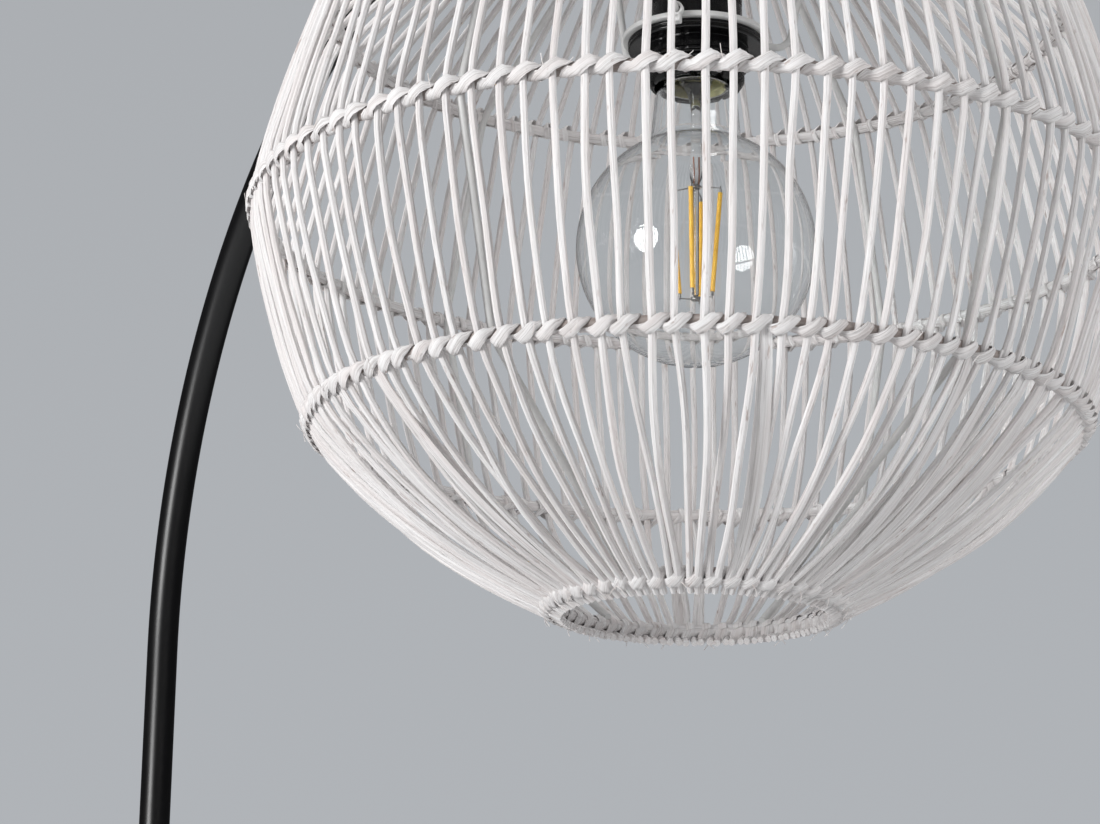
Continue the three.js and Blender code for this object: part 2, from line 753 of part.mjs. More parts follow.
// The rattan cage. Its stakes run from the lowest ring to the top one, outside the frame, and at
// each ring a binding of rattan peel holds them. A stake is three-cornered here: at each ring it has
// one corner inside the binding and, on the outside, a left and a right corner at the binding's lower
// and upper edge. The stakes and the bindings share these corners, so the cage is one closed surface.
function cageGeometry() {
  const frames = ringFrames();
  const corners = ["inner", "lowLeft", "lowRight", "highRight", "highLeft"];
  const positions = [];
  const faces = [];
  const index = (k, stake, corner) =>
    (k * stakeCount + (stake % stakeCount)) * corners.length + corners.indexOf(corner);
  const triangle = (a, b, c) => faces.push(a, b, c);
  const quad = (a, b, c, d) => faces.push(a, b, c, a, c, d);

  // At the lowest and the top ring the stakes close up in pairs.
  const stakeAngle = (k, stake) => {
    const paired = k === 0 || k === frames.length - 1;
    const closeUp = paired ? pairCloseUp * (stake % 2 ? -1 : 1) : 0;
    return (2 * Math.PI * stake) / stakeCount + closeUp / ringRadii[k];
  };

  frames.forEach(({ middle, along, outward, mitre }, k) => {
    const clear = wireRadius + seatGap;
    const inner = middle.clone().addScaledVector(outward, clear * mitre);
    const outer = middle.clone().addScaledVector(outward, (clear + stakeDepth + peelThickness) * mitre);
    const low = outer.clone().addScaledVector(along, -bindingHeight / 2);
    const high = outer.clone().addScaledVector(along, bindingHeight / 2);
    const halfAngle = stakeWidth / 2 / outer.x;
    for (let stake = 0; stake < stakeCount; stake += 1) {
      const angle = stakeAngle(k, stake);
      for (const [point, turn] of [
        [inner, 0],
        [low, -halfAngle],
        [low, halfAngle],
        [high, halfAngle],
        [high, -halfAngle],
      ]) {
        positions.push(...aroundAxis(point, angle + turn).toArray());
      }
    }
  });

  // In the lowest tier the stakes bow outwards, so they have a section halfway.
  const halfwayStart = positions.length / 3;
  const lowestTier = frames[1].middle.clone().sub(frames[0].middle).setLength(lowestTierBow);
  const bowOut = new THREE.Vector2(lowestTier.y, -lowestTier.x);
  const vertex = (i) => new THREE.Vector3().fromArray(positions, 3 * i);
  for (let stake = 0; stake < stakeCount; stake += 1) {
    const bow = aroundAxis(bowOut, (stakeAngle(0, stake) + stakeAngle(1, stake)) / 2);
    for (const [low, high] of [
      ["inner", "inner"],
      ["highRight", "lowRight"],
      ["highLeft", "lowLeft"],
    ]) {
      const halfway = vertex(index(0, stake, low)).add(vertex(index(1, stake, high))).divideScalar(2);
      positions.push(...halfway.add(bow).toArray());
    }
  }

  const topRing = frames.length - 1;
  for (let k = 0; k <= topRing; k += 1) {
    for (let stake = 0; stake < stakeCount; stake += 1) {
      const at = (corner) => index(k, stake, corner);
      const next = (corner) => index(k, stake + 1, corner);
      // The binding, over the stake and on to the next one
      quad(at("lowLeft"), at("lowRight"), at("highRight"), at("highLeft"));
      quad(at("lowRight"), next("lowLeft"), next("highLeft"), at("highRight"));
      quad(at("highRight"), next("highLeft"), next("inner"), at("inner"));
      quad(at("inner"), next("inner"), next("lowLeft"), at("lowRight"));
      if (k === topRing) {
        triangle(at("highLeft"), at("highRight"), at("inner"));
        continue;
      }
      // The stake, up to the next ring
      const up = (corner) => index(k + 1, stake, corner);
      const sections = [
        [at("inner"), at("highRight"), at("highLeft")],
        [up("inner"), up("lowRight"), up("lowLeft")],
      ];
      if (k === 0) sections.splice(1, 0, [0, 1, 2].map((corner) => halfwayStart + 3 * stake + corner));
      for (let i = 1; i < sections.length; i += 1) {
        const [inner, right, left] = sections[i - 1];
        const [nextInner, nextRight, nextLeft] = sections[i];
        quad(left, right, nextRight, nextLeft);
        quad(right, inner, nextInner, nextRight);
        quad(inner, left, nextLeft, nextInner);
      }
    }
  }

  // Below the lowest ring each stake's cut end tapers to a point.
  const { middle, along, outward, mitre } = frames[0];
  const tip = middle
    .clone()
    .addScaledVector(outward, (wireRadius + seatGap + stakeDepth / 2) * mitre)
    .addScaledVector(along, -bindingHeight / 2 - cutEnd);
  for (let stake = 0; stake < stakeCount; stake += 1) {
    positions.push(...aroundAxis(tip, stakeAngle(0, stake)).toArray());
    const end = positions.length / 3 - 1;
    triangle(index(0, stake, "inner"), index(0, stake, "lowRight"), end);
    triangle(index(0, stake, "lowRight"), index(0, stake, "lowLeft"), end);
    triangle(index(0, stake, "lowLeft"), index(0, stake, "inner"), end);
  }

  const geometry = new THREE.BufferGeometry();
  geometry.setAttribute("position", new THREE.Float32BufferAttribute(positions, 3));
  geometry.setIndex(faces);
  geometry.computeVertexNormals();
  return geometry;
}

function makeShade() {
  const group = new THREE.Group();
  const ringNames = ["bottom", "lower", "middle", "upper", "top"];
  ringNames.forEach((name, k) => {
    const ring = new THREE.TorusGeometry(ringRadii[k], wireRadius, wireSides, ringSides);
    group.add(piece(`${name}_ring_wire`, ring.translate(0, 0, ringHeights[k]), whiteMetal));
  });

  // The uprights are welded inside the rings, straight from one to the next. A ring's flats lie
  // further in than its corners.
  const inset = wireRadius + seatGap + uprightRadius;
  const ringFlat = new THREE.Vector2(Math.cos(Math.PI / ringSides), 1);
  const uprightLine = ringFrames().map(({ middle, outward, mitre }) =>
    middle.clone().multiply(ringFlat).addScaledVector(outward, -inset * mitre),
  );
  uprightAngles.forEach((degrees, i) => {
    const angle = THREE.MathUtils.degToRad(degrees);
    const stations = uprightLine.map((point) => aroundAxis(point, angle));
    group.add(piece(`upright_wire_${i + 1}`, swept(stations, uprightRadius, wireSides), whiteMetal));
  });

  const plateBottom = skirtAboveRing + carrierBottom;
  const plateTop = plateBottom + carrierThickness;
  const plate = pipe(carrierRadius, skirtRadius + ringNutGap, plateBottom, plateTop, roundSides);
  const armZ = plateBottom + carrierArmRadius;
  // The carrier's arms are welded inside the top ring.
  const topRing = ringRadii.length - 1;
  const topRingInside = (ringRadii[topRing] - wireRadius) * ringFlat.x;
  const armLine = [
    [carrierRadius - carrierArmRadius, armZ],
    [carrierRadius + carrierArmReach - carrierArmRise, armZ],
    [carrierRadius + carrierArmReach, armZ + carrierArmRise],
    [topRingInside - seatGap - carrierArmRadius, ringHeights[topRing]],
  ].map(([x, y]) => new THREE.Vector2(x, y));
  const arms = carrierArmAngles.map((degrees) => {
    const angle = THREE.MathUtils.degToRad(degrees);
    const stations = armLine.map((point) => aroundAxis(point, angle));
    return swept(stations, carrierArmRadius, wireSides);
  });
  group.add(piece("shade_carrier", joined(plate, ...arms), whiteMetal));

  group.add(piece("rattan_cage", cageGeometry(), whiteRattan));
  return group;
}

function makeBulb() {
  const group = new THREE.Group();
  const top = bulbLength - globeRadius;
  const capRim = top - bulbCapLength;
  const insulatorBottom = top - bulbContactHeight - seatGap - insulatorHeight;
  const capShellTop = insulatorBottom - seatGap;
  const neckInCap = bulbCapRadius - bulbCapBead - bulbCapWall - seatGap;
  const shoulderAngle = THREE.MathUtils.radToDeg(Math.acos((neckRadius + neckFillet / 3) / globeRadius));
  const glassOutline = (inset) => [
    [0, inset - globeRadius],
    ...arc(0, 0, globeRadius - inset, -90, 0, lowerGlobeSteps).slice(1),
    ...arc(0, 0, globeRadius - inset, 0, shoulderAngle, upperGlobeSteps).slice(1),
    [neckRadius - inset, capRim - neckFillet],
    [neckRadius - inset, capRim - neckShoulder],
    [neckInCap - inset, capRim - seatGap],
    [neckInCap - inset, capRim + bulbCapLength / 3],
  ];
  const glassProfile = [...glassOutline(0), ...glassOutline(glassThickness).reverse()];
  group.add(piece("bulb_glass", turned(glassProfile, bulbSides), glass));

  const capWallRadius = bulbCapRadius - bulbCapBead;
  const shoulderBottomOfCap = capShellTop - bulbCapShoulder;
  const bulbCap = turnedRing(
    [
      [capWallRadius - bulbCapWall, capRim],
      [bulbCapRadius, capRim],
      [capWallRadius, capRim + bulbCapBead],
      [capWallRadius, shoulderBottomOfCap],
      [insulatorRadius, capShellTop],
      [insulatorRadius - bulbCapWall, capShellTop - bulbCapWall],
      [capWallRadius - bulbCapWall, shoulderBottomOfCap - bulbCapWall],
    ],
    bulbSides,
  );
  group.add(piece("bulb_cap", bulbCap, nickel));
  const insulatorTop = insulatorBottom + insulatorHeight;
  const insulator = turned(
    [
      [0, insulatorBottom],
      [insulatorRadius, insulatorBottom],
      [bulbContactRadius, insulatorTop],
      [0, insulatorTop],
    ],
    roundSides,
  );
  group.add(piece("bulb_insulator", insulator, blackPlastic));
  const contact = rod(bulbContactRadius, top - bulbContactHeight, top, smallSides);
  group.add(piece("bulb_contact", contact, nickel));

  const stem = stemGeometry(capRim + bulbCapLength / 3, neckInCap - glassThickness);
  group.add(piece("bulb_stem", stem, glass));
  group.add(makeFilaments());
  return group;
}

// The glass stem flares to meet the neck, and its rod reaches down between the filaments.
function stemGeometry(top, flareRoom) {
  const flare = Math.min(stemFlareRadius, flareRoom - seatGap);
  const rodTop = filamentTop + stemPressHeight;
  return turned(
    [
      [0, filamentTop - filamentLength],
      [stemRodRadius, filamentTop - filamentLength],
      [stemRodRadius, rodTop],
      [stemRadius, rodTop + stemRadius],
      [stemRadius, top - stemFlareHeight],
      [flare, top],
      [0, top],
    ],
    smallSides,
  );
}

// Four straight filaments lean inwards from a hub round the stem's rod to one at its tip.
function makeFilaments() {
  const group = new THREE.Group();
  const filamentBottom = filamentTop - filamentLength;
  const angles = filamentAngles.map(THREE.MathUtils.degToRad);
  const bars = (spread, height) =>
    angles.map((angle) => {
      const ends = [hubRadius - hookWireRadius, spread].map((radius) =>
        aroundAxis(new THREE.Vector2(radius, height), angle),
      );
      return swept(ends, hookWireRadius, wireSides);
    });
  const topHubBottom = filamentTop + seatGap;
  const topHubTop = topHubBottom + hubThickness;
  const topHub = pipe(hubRadius, stemRodRadius + seatGap, topHubBottom, topHubTop, smallSides);
  const topBars = bars(filamentTopSpread, topHubBottom + hubThickness / 2);
  group.add(piece("filament_hanger", joined(topHub, ...topBars), steel));
  const lowHubTop = filamentBottom - seatGap;
  const lowHub = rod(hubRadius, lowHubTop - hubThickness, lowHubTop, smallSides);
  const lowBars = bars(filamentBottomSpread, lowHubTop - hubThickness / 2);
  group.add(piece("filament_foot", joined(lowHub, ...lowBars), steel));
  angles.forEach((angle, i) => {
    const ends = [
      new THREE.Vector2(filamentBottomSpread, filamentBottom),
      new THREE.Vector2(filamentTopSpread, filamentTop),
    ].map((point) => aroundAxis(point, angle));
    group.add(piece(`filament_${i + 1}`, swept(ends, filamentRadius, wireSides), phosphor));
  });
  return group;
}

const lamp = new THREE.Group();
lamp.add(makeBase(), makeSocket(), makePole(), makeArm());

const lampholder = makeLampholder();
lampholder.add(makeRingNut());
lampholder.position.set(reach, 0, skirtHeight);
lamp.add(lampholder);

const shade = makeShade();
shade.position.set(reach, 0, shadeHeight);
lamp.add(shade);

const bulb = makeBulb();
bulb.position.set(reach, 0, shadeHeight + globeAboveRing);
lamp.add(bulb);

export default lamp;
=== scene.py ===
import math

import bmesh
import bpy
from mathutils import Matrix, Vector


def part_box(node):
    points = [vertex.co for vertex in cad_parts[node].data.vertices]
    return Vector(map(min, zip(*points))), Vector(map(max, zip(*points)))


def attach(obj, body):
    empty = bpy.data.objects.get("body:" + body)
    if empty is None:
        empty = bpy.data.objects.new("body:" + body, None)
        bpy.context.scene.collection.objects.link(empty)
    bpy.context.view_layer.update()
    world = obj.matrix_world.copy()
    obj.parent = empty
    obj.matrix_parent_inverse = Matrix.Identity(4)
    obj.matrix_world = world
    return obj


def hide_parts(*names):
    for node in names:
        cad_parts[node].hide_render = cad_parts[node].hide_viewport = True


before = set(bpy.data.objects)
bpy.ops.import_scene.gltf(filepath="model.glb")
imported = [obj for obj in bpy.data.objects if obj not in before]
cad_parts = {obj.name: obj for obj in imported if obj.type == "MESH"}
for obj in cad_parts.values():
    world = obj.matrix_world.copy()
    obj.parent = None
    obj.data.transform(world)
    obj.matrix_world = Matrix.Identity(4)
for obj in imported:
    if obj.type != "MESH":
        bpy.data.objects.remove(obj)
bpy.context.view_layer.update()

# The camera stands low at the shade's front, to the right of the pole, and looks up into the lamp.
# Its long lens shows the lower left of the shade, the lampholder and a stretch of the pole.
camera_place = Vector((1.4804, -0.6231, 1.007))
camera_heading = math.radians(149.85)
camera_pitch = math.radians(14.95)
camera_roll = math.radians(0.75)
camera_lens = 99.2
camera_sensor = 36

forward = Vector((
    math.cos(camera_heading) * math.cos(camera_pitch),
    math.sin(camera_heading) * math.cos(camera_pitch),
    math.sin(camera_pitch),
))
level_right = forward.cross(Vector((0, 0, 1))).normalized()
level_up = level_right.cross(forward)
picture_right = level_right * math.cos(camera_roll) + level_up * math.sin(camera_roll)
picture_up = level_up * math.cos(camera_roll) - level_right * math.sin(camera_roll)
turn = Matrix((picture_right, picture_up, -forward)).transposed().to_4x4()

lens = bpy.data.cameras.new("camera")
lens.sensor_width = camera_sensor
lens.lens = camera_lens
lens.clip_start = 0.05
lens.clip_end = 50


def shown(name, data):
    """A new object in the scene for a mesh, a lamp or the camera's lens."""
    thing = bpy.data.objects.new(name, data)
    bpy.context.scene.collection.objects.link(thing)
    return thing


camera = shown("camera", lens)
camera.matrix_world = Matrix.Translation(camera_place) @ turn
bpy.context.scene.camera = camera


# The pad under the base: a disc of black rubber, cut from sheet and glued on, which keeps the
# iron off the floor.
mm = 0.001
pad_radius = 148
pad_thickness = 2


class Feed:
    """An output in a node tree. Sums on feeds add Math nodes, and node() adds any other node."""

    def __init__(self, tree, socket=None):
        self.tree = tree
        self.socket = socket

    def node(self, kind, sockets={}, out=0, **settings):
        """A new node with its inputs and its settings. It gives the feed of one output."""
        made = self.tree.nodes.new(kind)
        for name, value in settings.items():
            setattr(made, name, value)
        for key, value in sockets.items():
            if isinstance(key, str):
                key = next(i for i, s in enumerate(made.inputs) if s.enabled and s.name == key)
            socket = made.inputs[key]
            if isinstance(value, Feed):
                self.tree.links.new(value.socket, socket)
            else:
                socket.default_value = value
        return Feed(self.tree, made.outputs[0]).other(out)

    def other(self, out):
        """Another output of the same node."""
        outputs = self.socket.node.outputs
        if isinstance(out, int):
            return Feed(self.tree, outputs[out])
        return Feed(self.tree, next(s for s in outputs if s.enabled and s.name == out))

    def sum(self, operation, first, second):
        """A Math node on two feeds or numbers."""
        return self.node("ShaderNodeMath", {0: first, 1: second}, operation=operation)

    def __add__(self, value):
        return self.sum("ADD", self, value)

    def __radd__(self, value):
        return self.sum("ADD", value, self)

    def __sub__(self, value):
        return self.sum("SUBTRACT", self, value)

    def __rsub__(self, value):
        return self.sum("SUBTRACT", value, self)

    def __mul__(self, value):
        return self.sum("MULTIPLY", self, value)

    def __rmul__(self, value):
        return self.sum("MULTIPLY", value, self)

    def __mod__(self, value):
        return self.sum("MODULO", self, value)


def mixed(factor, first, second):
    """A colour between two others. A colour is a feed or three numbers."""
    ends = [colour if isinstance(colour, Feed) else (*colour, 1) for colour in (first, second)]
    sockets = {"Factor": factor, "A": ends[0], "B": ends[1]}
    return factor.node("ShaderNodeMix", sockets, "Result", data_type="RGBA")


def between(feed, low, high):
    """A factor that goes from 0 to 1 while the feed goes from low to high."""
    return feed.node("ShaderNodeMapRange", {"Value": feed, "From Min": low, "From Max": high})


def grain_of(place, cells, detail=2.0, roughness=0.5):
    """Cloudy noise at a place, with so many cells in a metre, or so many along each axis."""
    scale = cells if isinstance(cells, tuple) else (cells, cells, cells)
    scaled = place.node("ShaderNodeMapping", {"Vector": place, "Scale": scale})
    sockets = {"Vector": scaled, "Scale": 1.0, "Detail": detail, "Roughness": roughness}
    return place.node("ShaderNodeTexNoise", sockets)


def new_finish(name):
    finish = bpy.data.materials.new(name)
    finish.use_nodes = True
    finish.node_tree.nodes.clear()
    return finish, Feed(finish.node_tree)


def shine_out(start, shader, kind="ShaderNodeOutputMaterial"):
    start.tree.links.new(shader.socket, start.tree.nodes.new(kind).inputs["Surface"])


def finish_of(name, pale, dark, cells, roughness, relief, relief_cells, metal=0.0, attribute=None):
    """A finish with two close shades in cells, uneven roughness and a low relief."""
    finish, start = new_finish(name)
    if attribute:
        place = start.node("ShaderNodeAttribute", {}, "Vector", attribute_name=attribute)
    else:
        place = start.node("ShaderNodeTexCoord", {}, "Object")
    cloud = grain_of(place, cells, 4.0)
    bumps = grain_of(place, relief_cells, 3.0)
    shine = roughness[0] + cloud * (roughness[1] - roughness[0])
    relief_sockets = {"Strength": 1.0, "Distance": relief, "Height": bumps}
    shader = start.node("ShaderNodeBsdfPrincipled", {
        "Base Color": mixed(between(cloud, 0.3, 0.7), dark, pale),
        "Metallic": metal,
        "Roughness": shine,
        "Normal": start.node("ShaderNodeBump", relief_sockets),
    })
    shine_out(start, shader)
    return finish


def arc(middle_x, middle_y, radius, start, end, steps):
    """Points of an arc as pairs, from one angle in degrees to another."""
    angles = [math.radians(start + (end - start) * i / steps) for i in range(steps + 1)]
    return [(middle_x + radius * math.cos(a), middle_y + radius * math.sin(a)) for a in angles]


def eased(profile, radius, closed=True, steps=3):
    """The profile with its corners rounded. One that isn't closed keeps its two ends."""
    points = [Vector(point) for point in profile]
    rounded = []
    for i, point in enumerate(points):
        before, after = points[i - 1], points[(i + 1) % len(points)]
        if not closed and i in (0, len(points) - 1):
            rounded.append(tuple(point))
            continue
        inward = before - point
        outward = after - point
        room = min(radius, 0.45 * inward.length, 0.45 * outward.length)
        first = point + inward.normalized() * room
        last = point + outward.normalized() * room
        for k in range(steps + 1):
            share = k / steps
            bend = first * (1 - share) ** 2 + point * 2 * share * (1 - share) + last * share ** 2
            rounded.append(tuple(bend))
    return rounded


def mesh_of(points, faces):
    mesh = bpy.data.meshes.new("mesh")
    mesh.from_pydata([Vector(point) * mm for point in points], [], faces)
    mesh.update()
    return mesh


def band(low, high):
    """Faces between two rows of points that close on themselves. A pole's row repeats one point."""
    faces = []
    for k in range(len(low)):
        n = (k + 1) % len(low)
        corners = list(dict.fromkeys([low[k], low[n], high[n], high[k]]))
        if len(corners) > 2:
            faces.append(corners)
    return faces


def turned(profile, sides=96, closed=True, worked=None):
    """Turns pairs of radius and height round the Z axis. A profile that isn't closed starts and ends
    on the axis. worked(radius, height, angle) may move a point, as a cutter does on the lathe."""
    points, rows = [], []
    for i, (radius, height) in enumerate(profile):
        if not closed and i in (0, len(profile) - 1):
            rows.append([len(points)] * sides)
            points.append((0, 0, height))
            continue
        rows.append(range(len(points), len(points) + sides))
        for k in range(sides):
            angle = 2 * math.pi * k / sides
            r, z = worked(radius, height, angle) if worked else (radius, height)
            points.append((r * math.cos(angle), r * math.sin(angle), z))
    pairs = list(zip(rows, rows[1:]))
    if closed:
        pairs.append((rows[-1], rows[0]))
    return mesh_of(points, [face for pair in pairs for face in band(*pair)])


def fitted(name, mesh, finish, body, slot, *nodes, crease=40):
    """Puts a piece in its place: its finish, its edges, what it moves with and what it stands for."""
    piece = shown(name, mesh)
    mesh.name = name
    mesh.materials.clear()
    mesh.materials.append(finish)
    mesh.shade_smooth()
    mesh.set_sharp_from_angle(angle=math.radians(crease))
    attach(piece, body)
    if nodes:
        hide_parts(*nodes)
    return piece


black_rubber = finish_of(
    "black rubber", (0.020, 0.020, 0.021), (0.010, 0.010, 0.011), 90, (0.72, 0.9), 0.00012, 900
)
pad_profile = eased([(0, 0), (pad_radius, 0), (pad_radius, pad_thickness), (0, pad_thickness)], 0.6, False)
fitted("rubber_pad", turned(pad_profile, 128, False), black_rubber, "stand", "rubber", "base_pad")


# The weight in the base: a grey iron casting with a recess for the nut that clamps it. The cover
# hides it.
def dressed(finish, *nodes):
    """Gives nodes of the frame that stay as they are their finish."""
    for node in nodes:
        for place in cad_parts[node].material_slots:
            place.material = finish


cast_iron = finish_of(
    "cast iron", (0.052, 0.054, 0.058), (0.028, 0.028, 0.030), 60, (0.55, 0.85), 0.0004, 420, 0.8
)
dressed(cast_iron, "base_weight")


# The base's cover: sheet steel spun to a shallow pan with a rolled edge and powder-coated satin
# black. It has a hole for the stud in its middle and one for the cord's gland at the back.
cover_radius = 150
cover_bottom = 2.3
cover_top = 30.3
cover_wall = 1.5
cover_edge = 8
cover_lip = 143
stud_hole = 5.3
gland_hole = 3.9
gland_start = 145
flex_height = 8

black_coat = finish_of(
    "satin black coat", (0.0042, 0.0042, 0.0047), (0.0029, 0.0029, 0.0032), 35,
    (0.30, 0.38), 0.00002, 1400,
)


def across(mesh, height=0.0):
    """Lays a piece that was turned on the Z axis across the pole, away from the shade."""
    mesh.transform(Matrix.Translation((0, 0, height * mm)) @ Matrix.Rotation(-math.pi / 2, 4, "Y"))
    return mesh


def baked(piece, *tools):
    """The mesh that the piece's modifiers give. The piece and its tools are taken out of the scene."""
    bpy.context.view_layer.update()
    seen = piece.evaluated_get(bpy.context.evaluated_depsgraph_get())
    result = bpy.data.meshes.new_from_object(seen)
    for spare in (piece, *tools):
        bpy.data.objects.remove(spare)
    return result


def pierced(mesh, *cutters):
    """The mesh with the cutters' shapes cut out of it."""
    piece = shown("pierced", mesh)
    tools = [shown("cutter", cutter) for cutter in cutters]
    for tool in tools:
        cutting = piece.modifiers.new("cut", "BOOLEAN")
        cutting.operation = "DIFFERENCE"
        cutting.solver = "EXACT"
        cutting.object = tool
    return baked(piece, *tools)


def rod(radius, bottom, top, sides=32, ease=0.2):
    profile = eased([(0, bottom), (radius, bottom), (radius, top), (0, top)], ease, False)
    return turned(profile, sides, False)


def pipe(radius, bore, bottom, top, sides=64, ease=0.2):
    return turned(eased([(bore, bottom), (radius, bottom), (radius, top), (bore, top)], ease), sides)


edge_middle = (cover_radius - cover_edge, cover_top - cover_edge)
inside_edge = cover_edge - cover_wall
cover_foot = [(cover_lip, cover_bottom), (cover_radius, cover_bottom), (cover_radius, cover_top)]
cover_profile = [
    *eased(cover_foot, 0.8, False)[:-1],
    *arc(*edge_middle, cover_edge, 0, 90, 14),
    (stud_hole, cover_top),
    (stud_hole, cover_top - cover_wall),
    *arc(*edge_middle, inside_edge, 90, 0, 10),
    (cover_radius - cover_wall, cover_bottom + cover_wall),
    (cover_lip, cover_bottom + cover_wall),
]
cover = turned(cover_profile, 160)
cover = pierced(cover, across(rod(gland_hole, gland_start, cover_radius + 1), flex_height))
fitted("spun_cover", cover, black_coat, "stand", "black_metal", "base_cover")


# What clamps the socket, the cover and the weight: a hollow steel stud, a washer and a nut, all
# zinc-plated. They are hidden in the base.
zinc = finish_of(
    "zinc-plated steel", (0.56, 0.57, 0.59), (0.40, 0.41, 0.43), 160, (0.28, 0.46), 0.00003, 700, 1.0
)
dressed(zinc, "base_stud", "base_washer", "base_nut")


# The cord's gland: a black rubber bush with a flange, pushed into the cover's hole at the back,
# where it keeps the flex off the edge of the steel.
gland_radius = 3.6
gland_bore = 2.8
gland_flange = 5
gland_flange_thickness = 2
gland_face = 150.3
gland_profile = eased([
    (gland_bore, gland_start),
    (gland_radius, gland_start),
    (gland_radius, gland_face),
    (gland_flange, gland_face),
    (gland_radius, gland_face + gland_flange_thickness),
    (gland_bore, gland_face + gland_flange_thickness),
], 0.4)
gland = across(turned(gland_profile, 40), flex_height)
fitted("rubber_gland", gland, black_rubber, "stand", "rubber", "cord_gland")


# The pole's socket: a turned steel foot with a flange, coated like the pole. A grub screw at the
# back holds the pole in it.
socket_bottom = 30.6
socket_height = 45
socket_radius = 13
socket_flange = 28
flange_thickness = 5
socket_fillet = 4
socket_floor = 12
pole_hole = 8.3
grub_height = 60.6
grub_radius = 2.5
grub_hole = 2.8
key_radius = 1.3
key_start = 11.4

flange_top = socket_bottom + flange_thickness
socket_top = socket_bottom + socket_height
flange_corners = [
    (stud_hole, socket_bottom), (socket_flange, socket_bottom), (socket_flange, flange_top),
    (socket_radius, flange_top),
]
mouth_corners = [
    (socket_radius, flange_top), (socket_radius, socket_top), (pole_hole, socket_top), (pole_hole, flange_top)
]
socket_profile = [
    *eased(flange_corners, 1.0, False)[:-1],
    *arc(socket_radius + socket_fillet, flange_top + socket_fillet, socket_fillet, 270, 180, 8),
    *eased(mouth_corners, 0.8, False)[1:-1],
    (pole_hole, socket_bottom + socket_floor),
    (stud_hole, socket_bottom + socket_floor),
]
socket = turned(socket_profile, 96)
socket = pierced(socket, across(rod(grub_hole, pole_hole - 0.3, socket_radius + 1), grub_height))
fitted("pole_foot", socket, black_coat, "stand", "black_metal", "pole_socket")

grub = rod(grub_radius, pole_hole, socket_radius, 32, 0.4)
key_end = socket_radius + 1
six_key = turned([(0, key_start), (key_radius, key_start), (key_radius, key_end), (0, key_end)], 6, False)
fitted("grub_screw", across(pierced(grub, six_key), grub_height), zinc, "stand", "steel", "socket_screw")


# The pole: two lengths of drawn steel tube, coated satin black, joined by a sleeve inside and held
# by button-head screws at the back.
tube_radius = 8
tube_bore = 6.8
pole_bottom = 42.9
lower_joint = 600
swivel_joint = 1140
joint_gap = 0.3
screw_offset = 22
screw_hole = 2.3
screw_radius = 2
screw_start = 5.4
screw_seat = 8.3
screw_head = 3.6
screw_key = 1.1
screw_key_floor = 9.2
screw_heights = {
    "lower_joint_screw": lower_joint - screw_offset,
    "middle_joint_screw": lower_joint + joint_gap + screw_offset,
    "swivel_joint_screw": swivel_joint - screw_offset,
}


def screw_bore(height):
    return across(rod(screw_hole, tube_radius / 2, tube_radius + 1, 24), height)


lower = pipe(tube_radius, tube_bore, pole_bottom, lower_joint, 64, 0.35)
lower = pierced(lower, screw_bore(screw_heights["lower_joint_screw"]))
fitted("lower_tube", lower, black_coat, "stand", "black_metal", "lower_pole")
middle = pipe(tube_radius, tube_bore, lower_joint + joint_gap, swivel_joint, 64, 0.35)
middle_bores = [screw_bore(screw_heights[name]) for name in ("middle_joint_screw", "swivel_joint_screw")]
middle = pierced(middle, *middle_bores)
fitted("middle_tube", middle, black_coat, "stand", "black_metal", "middle_pole")

shank = [(0, screw_start), (screw_radius, screw_start), (screw_radius, screw_seat), (screw_head, screw_seat)]
screw_profile = [
    *eased(shank, 0.2, False),
    *arc(0, screw_seat + 0.5, screw_head, 0, 60, 6),
    (screw_key + 0.1, screw_key_floor + screw_key),
    (screw_key, screw_key_floor),
    (0, screw_key_floor),
]
for name, height in screw_heights.items():
    head = across(turned(screw_profile, 36, False), height)
    fitted("button_" + name, head, black_coat, "stand", "black_metal", name)
dressed(zinc, "pole_joiner", "swivel_joiner")
dressed(black_rubber, "flex_in_pole")


# The swivel's washer: a thin ring of white nylon, cut from tube and laid between the pole and the
# arm, which turns on it.
white_nylon = finish_of(
    "white nylon", (0.80, 0.80, 0.79), (0.74, 0.74, 0.73), 200, (0.32, 0.45), 0.00002, 1500
)
washer_bottom = swivel_joint + joint_gap
washer_thickness = 1.5
swivel_washer = pipe(tube_radius, tube_bore, washer_bottom, washer_bottom + washer_thickness, 64, 0.25)
fitted("nylon_washer", swivel_washer, white_nylon, "stand", "white_plastic", "swivel_washer")


# The arm: one length of the same tube, bent over on a former and down again at its end, with the
# thumb screw that locks the swivel at its foot.
arm_bottom = 1142.1
bend_height = 1297
bend_radius = 315
reach = 521
end_radius = 60
tube_end = 1505.2
thumb_height = arm_bottom + screw_offset
knob_ribs = 18
knob_radius = 7
knob_start = 10.5
knob_end = 15.5
knob_neck = 3.5
rib_depth = 0.25


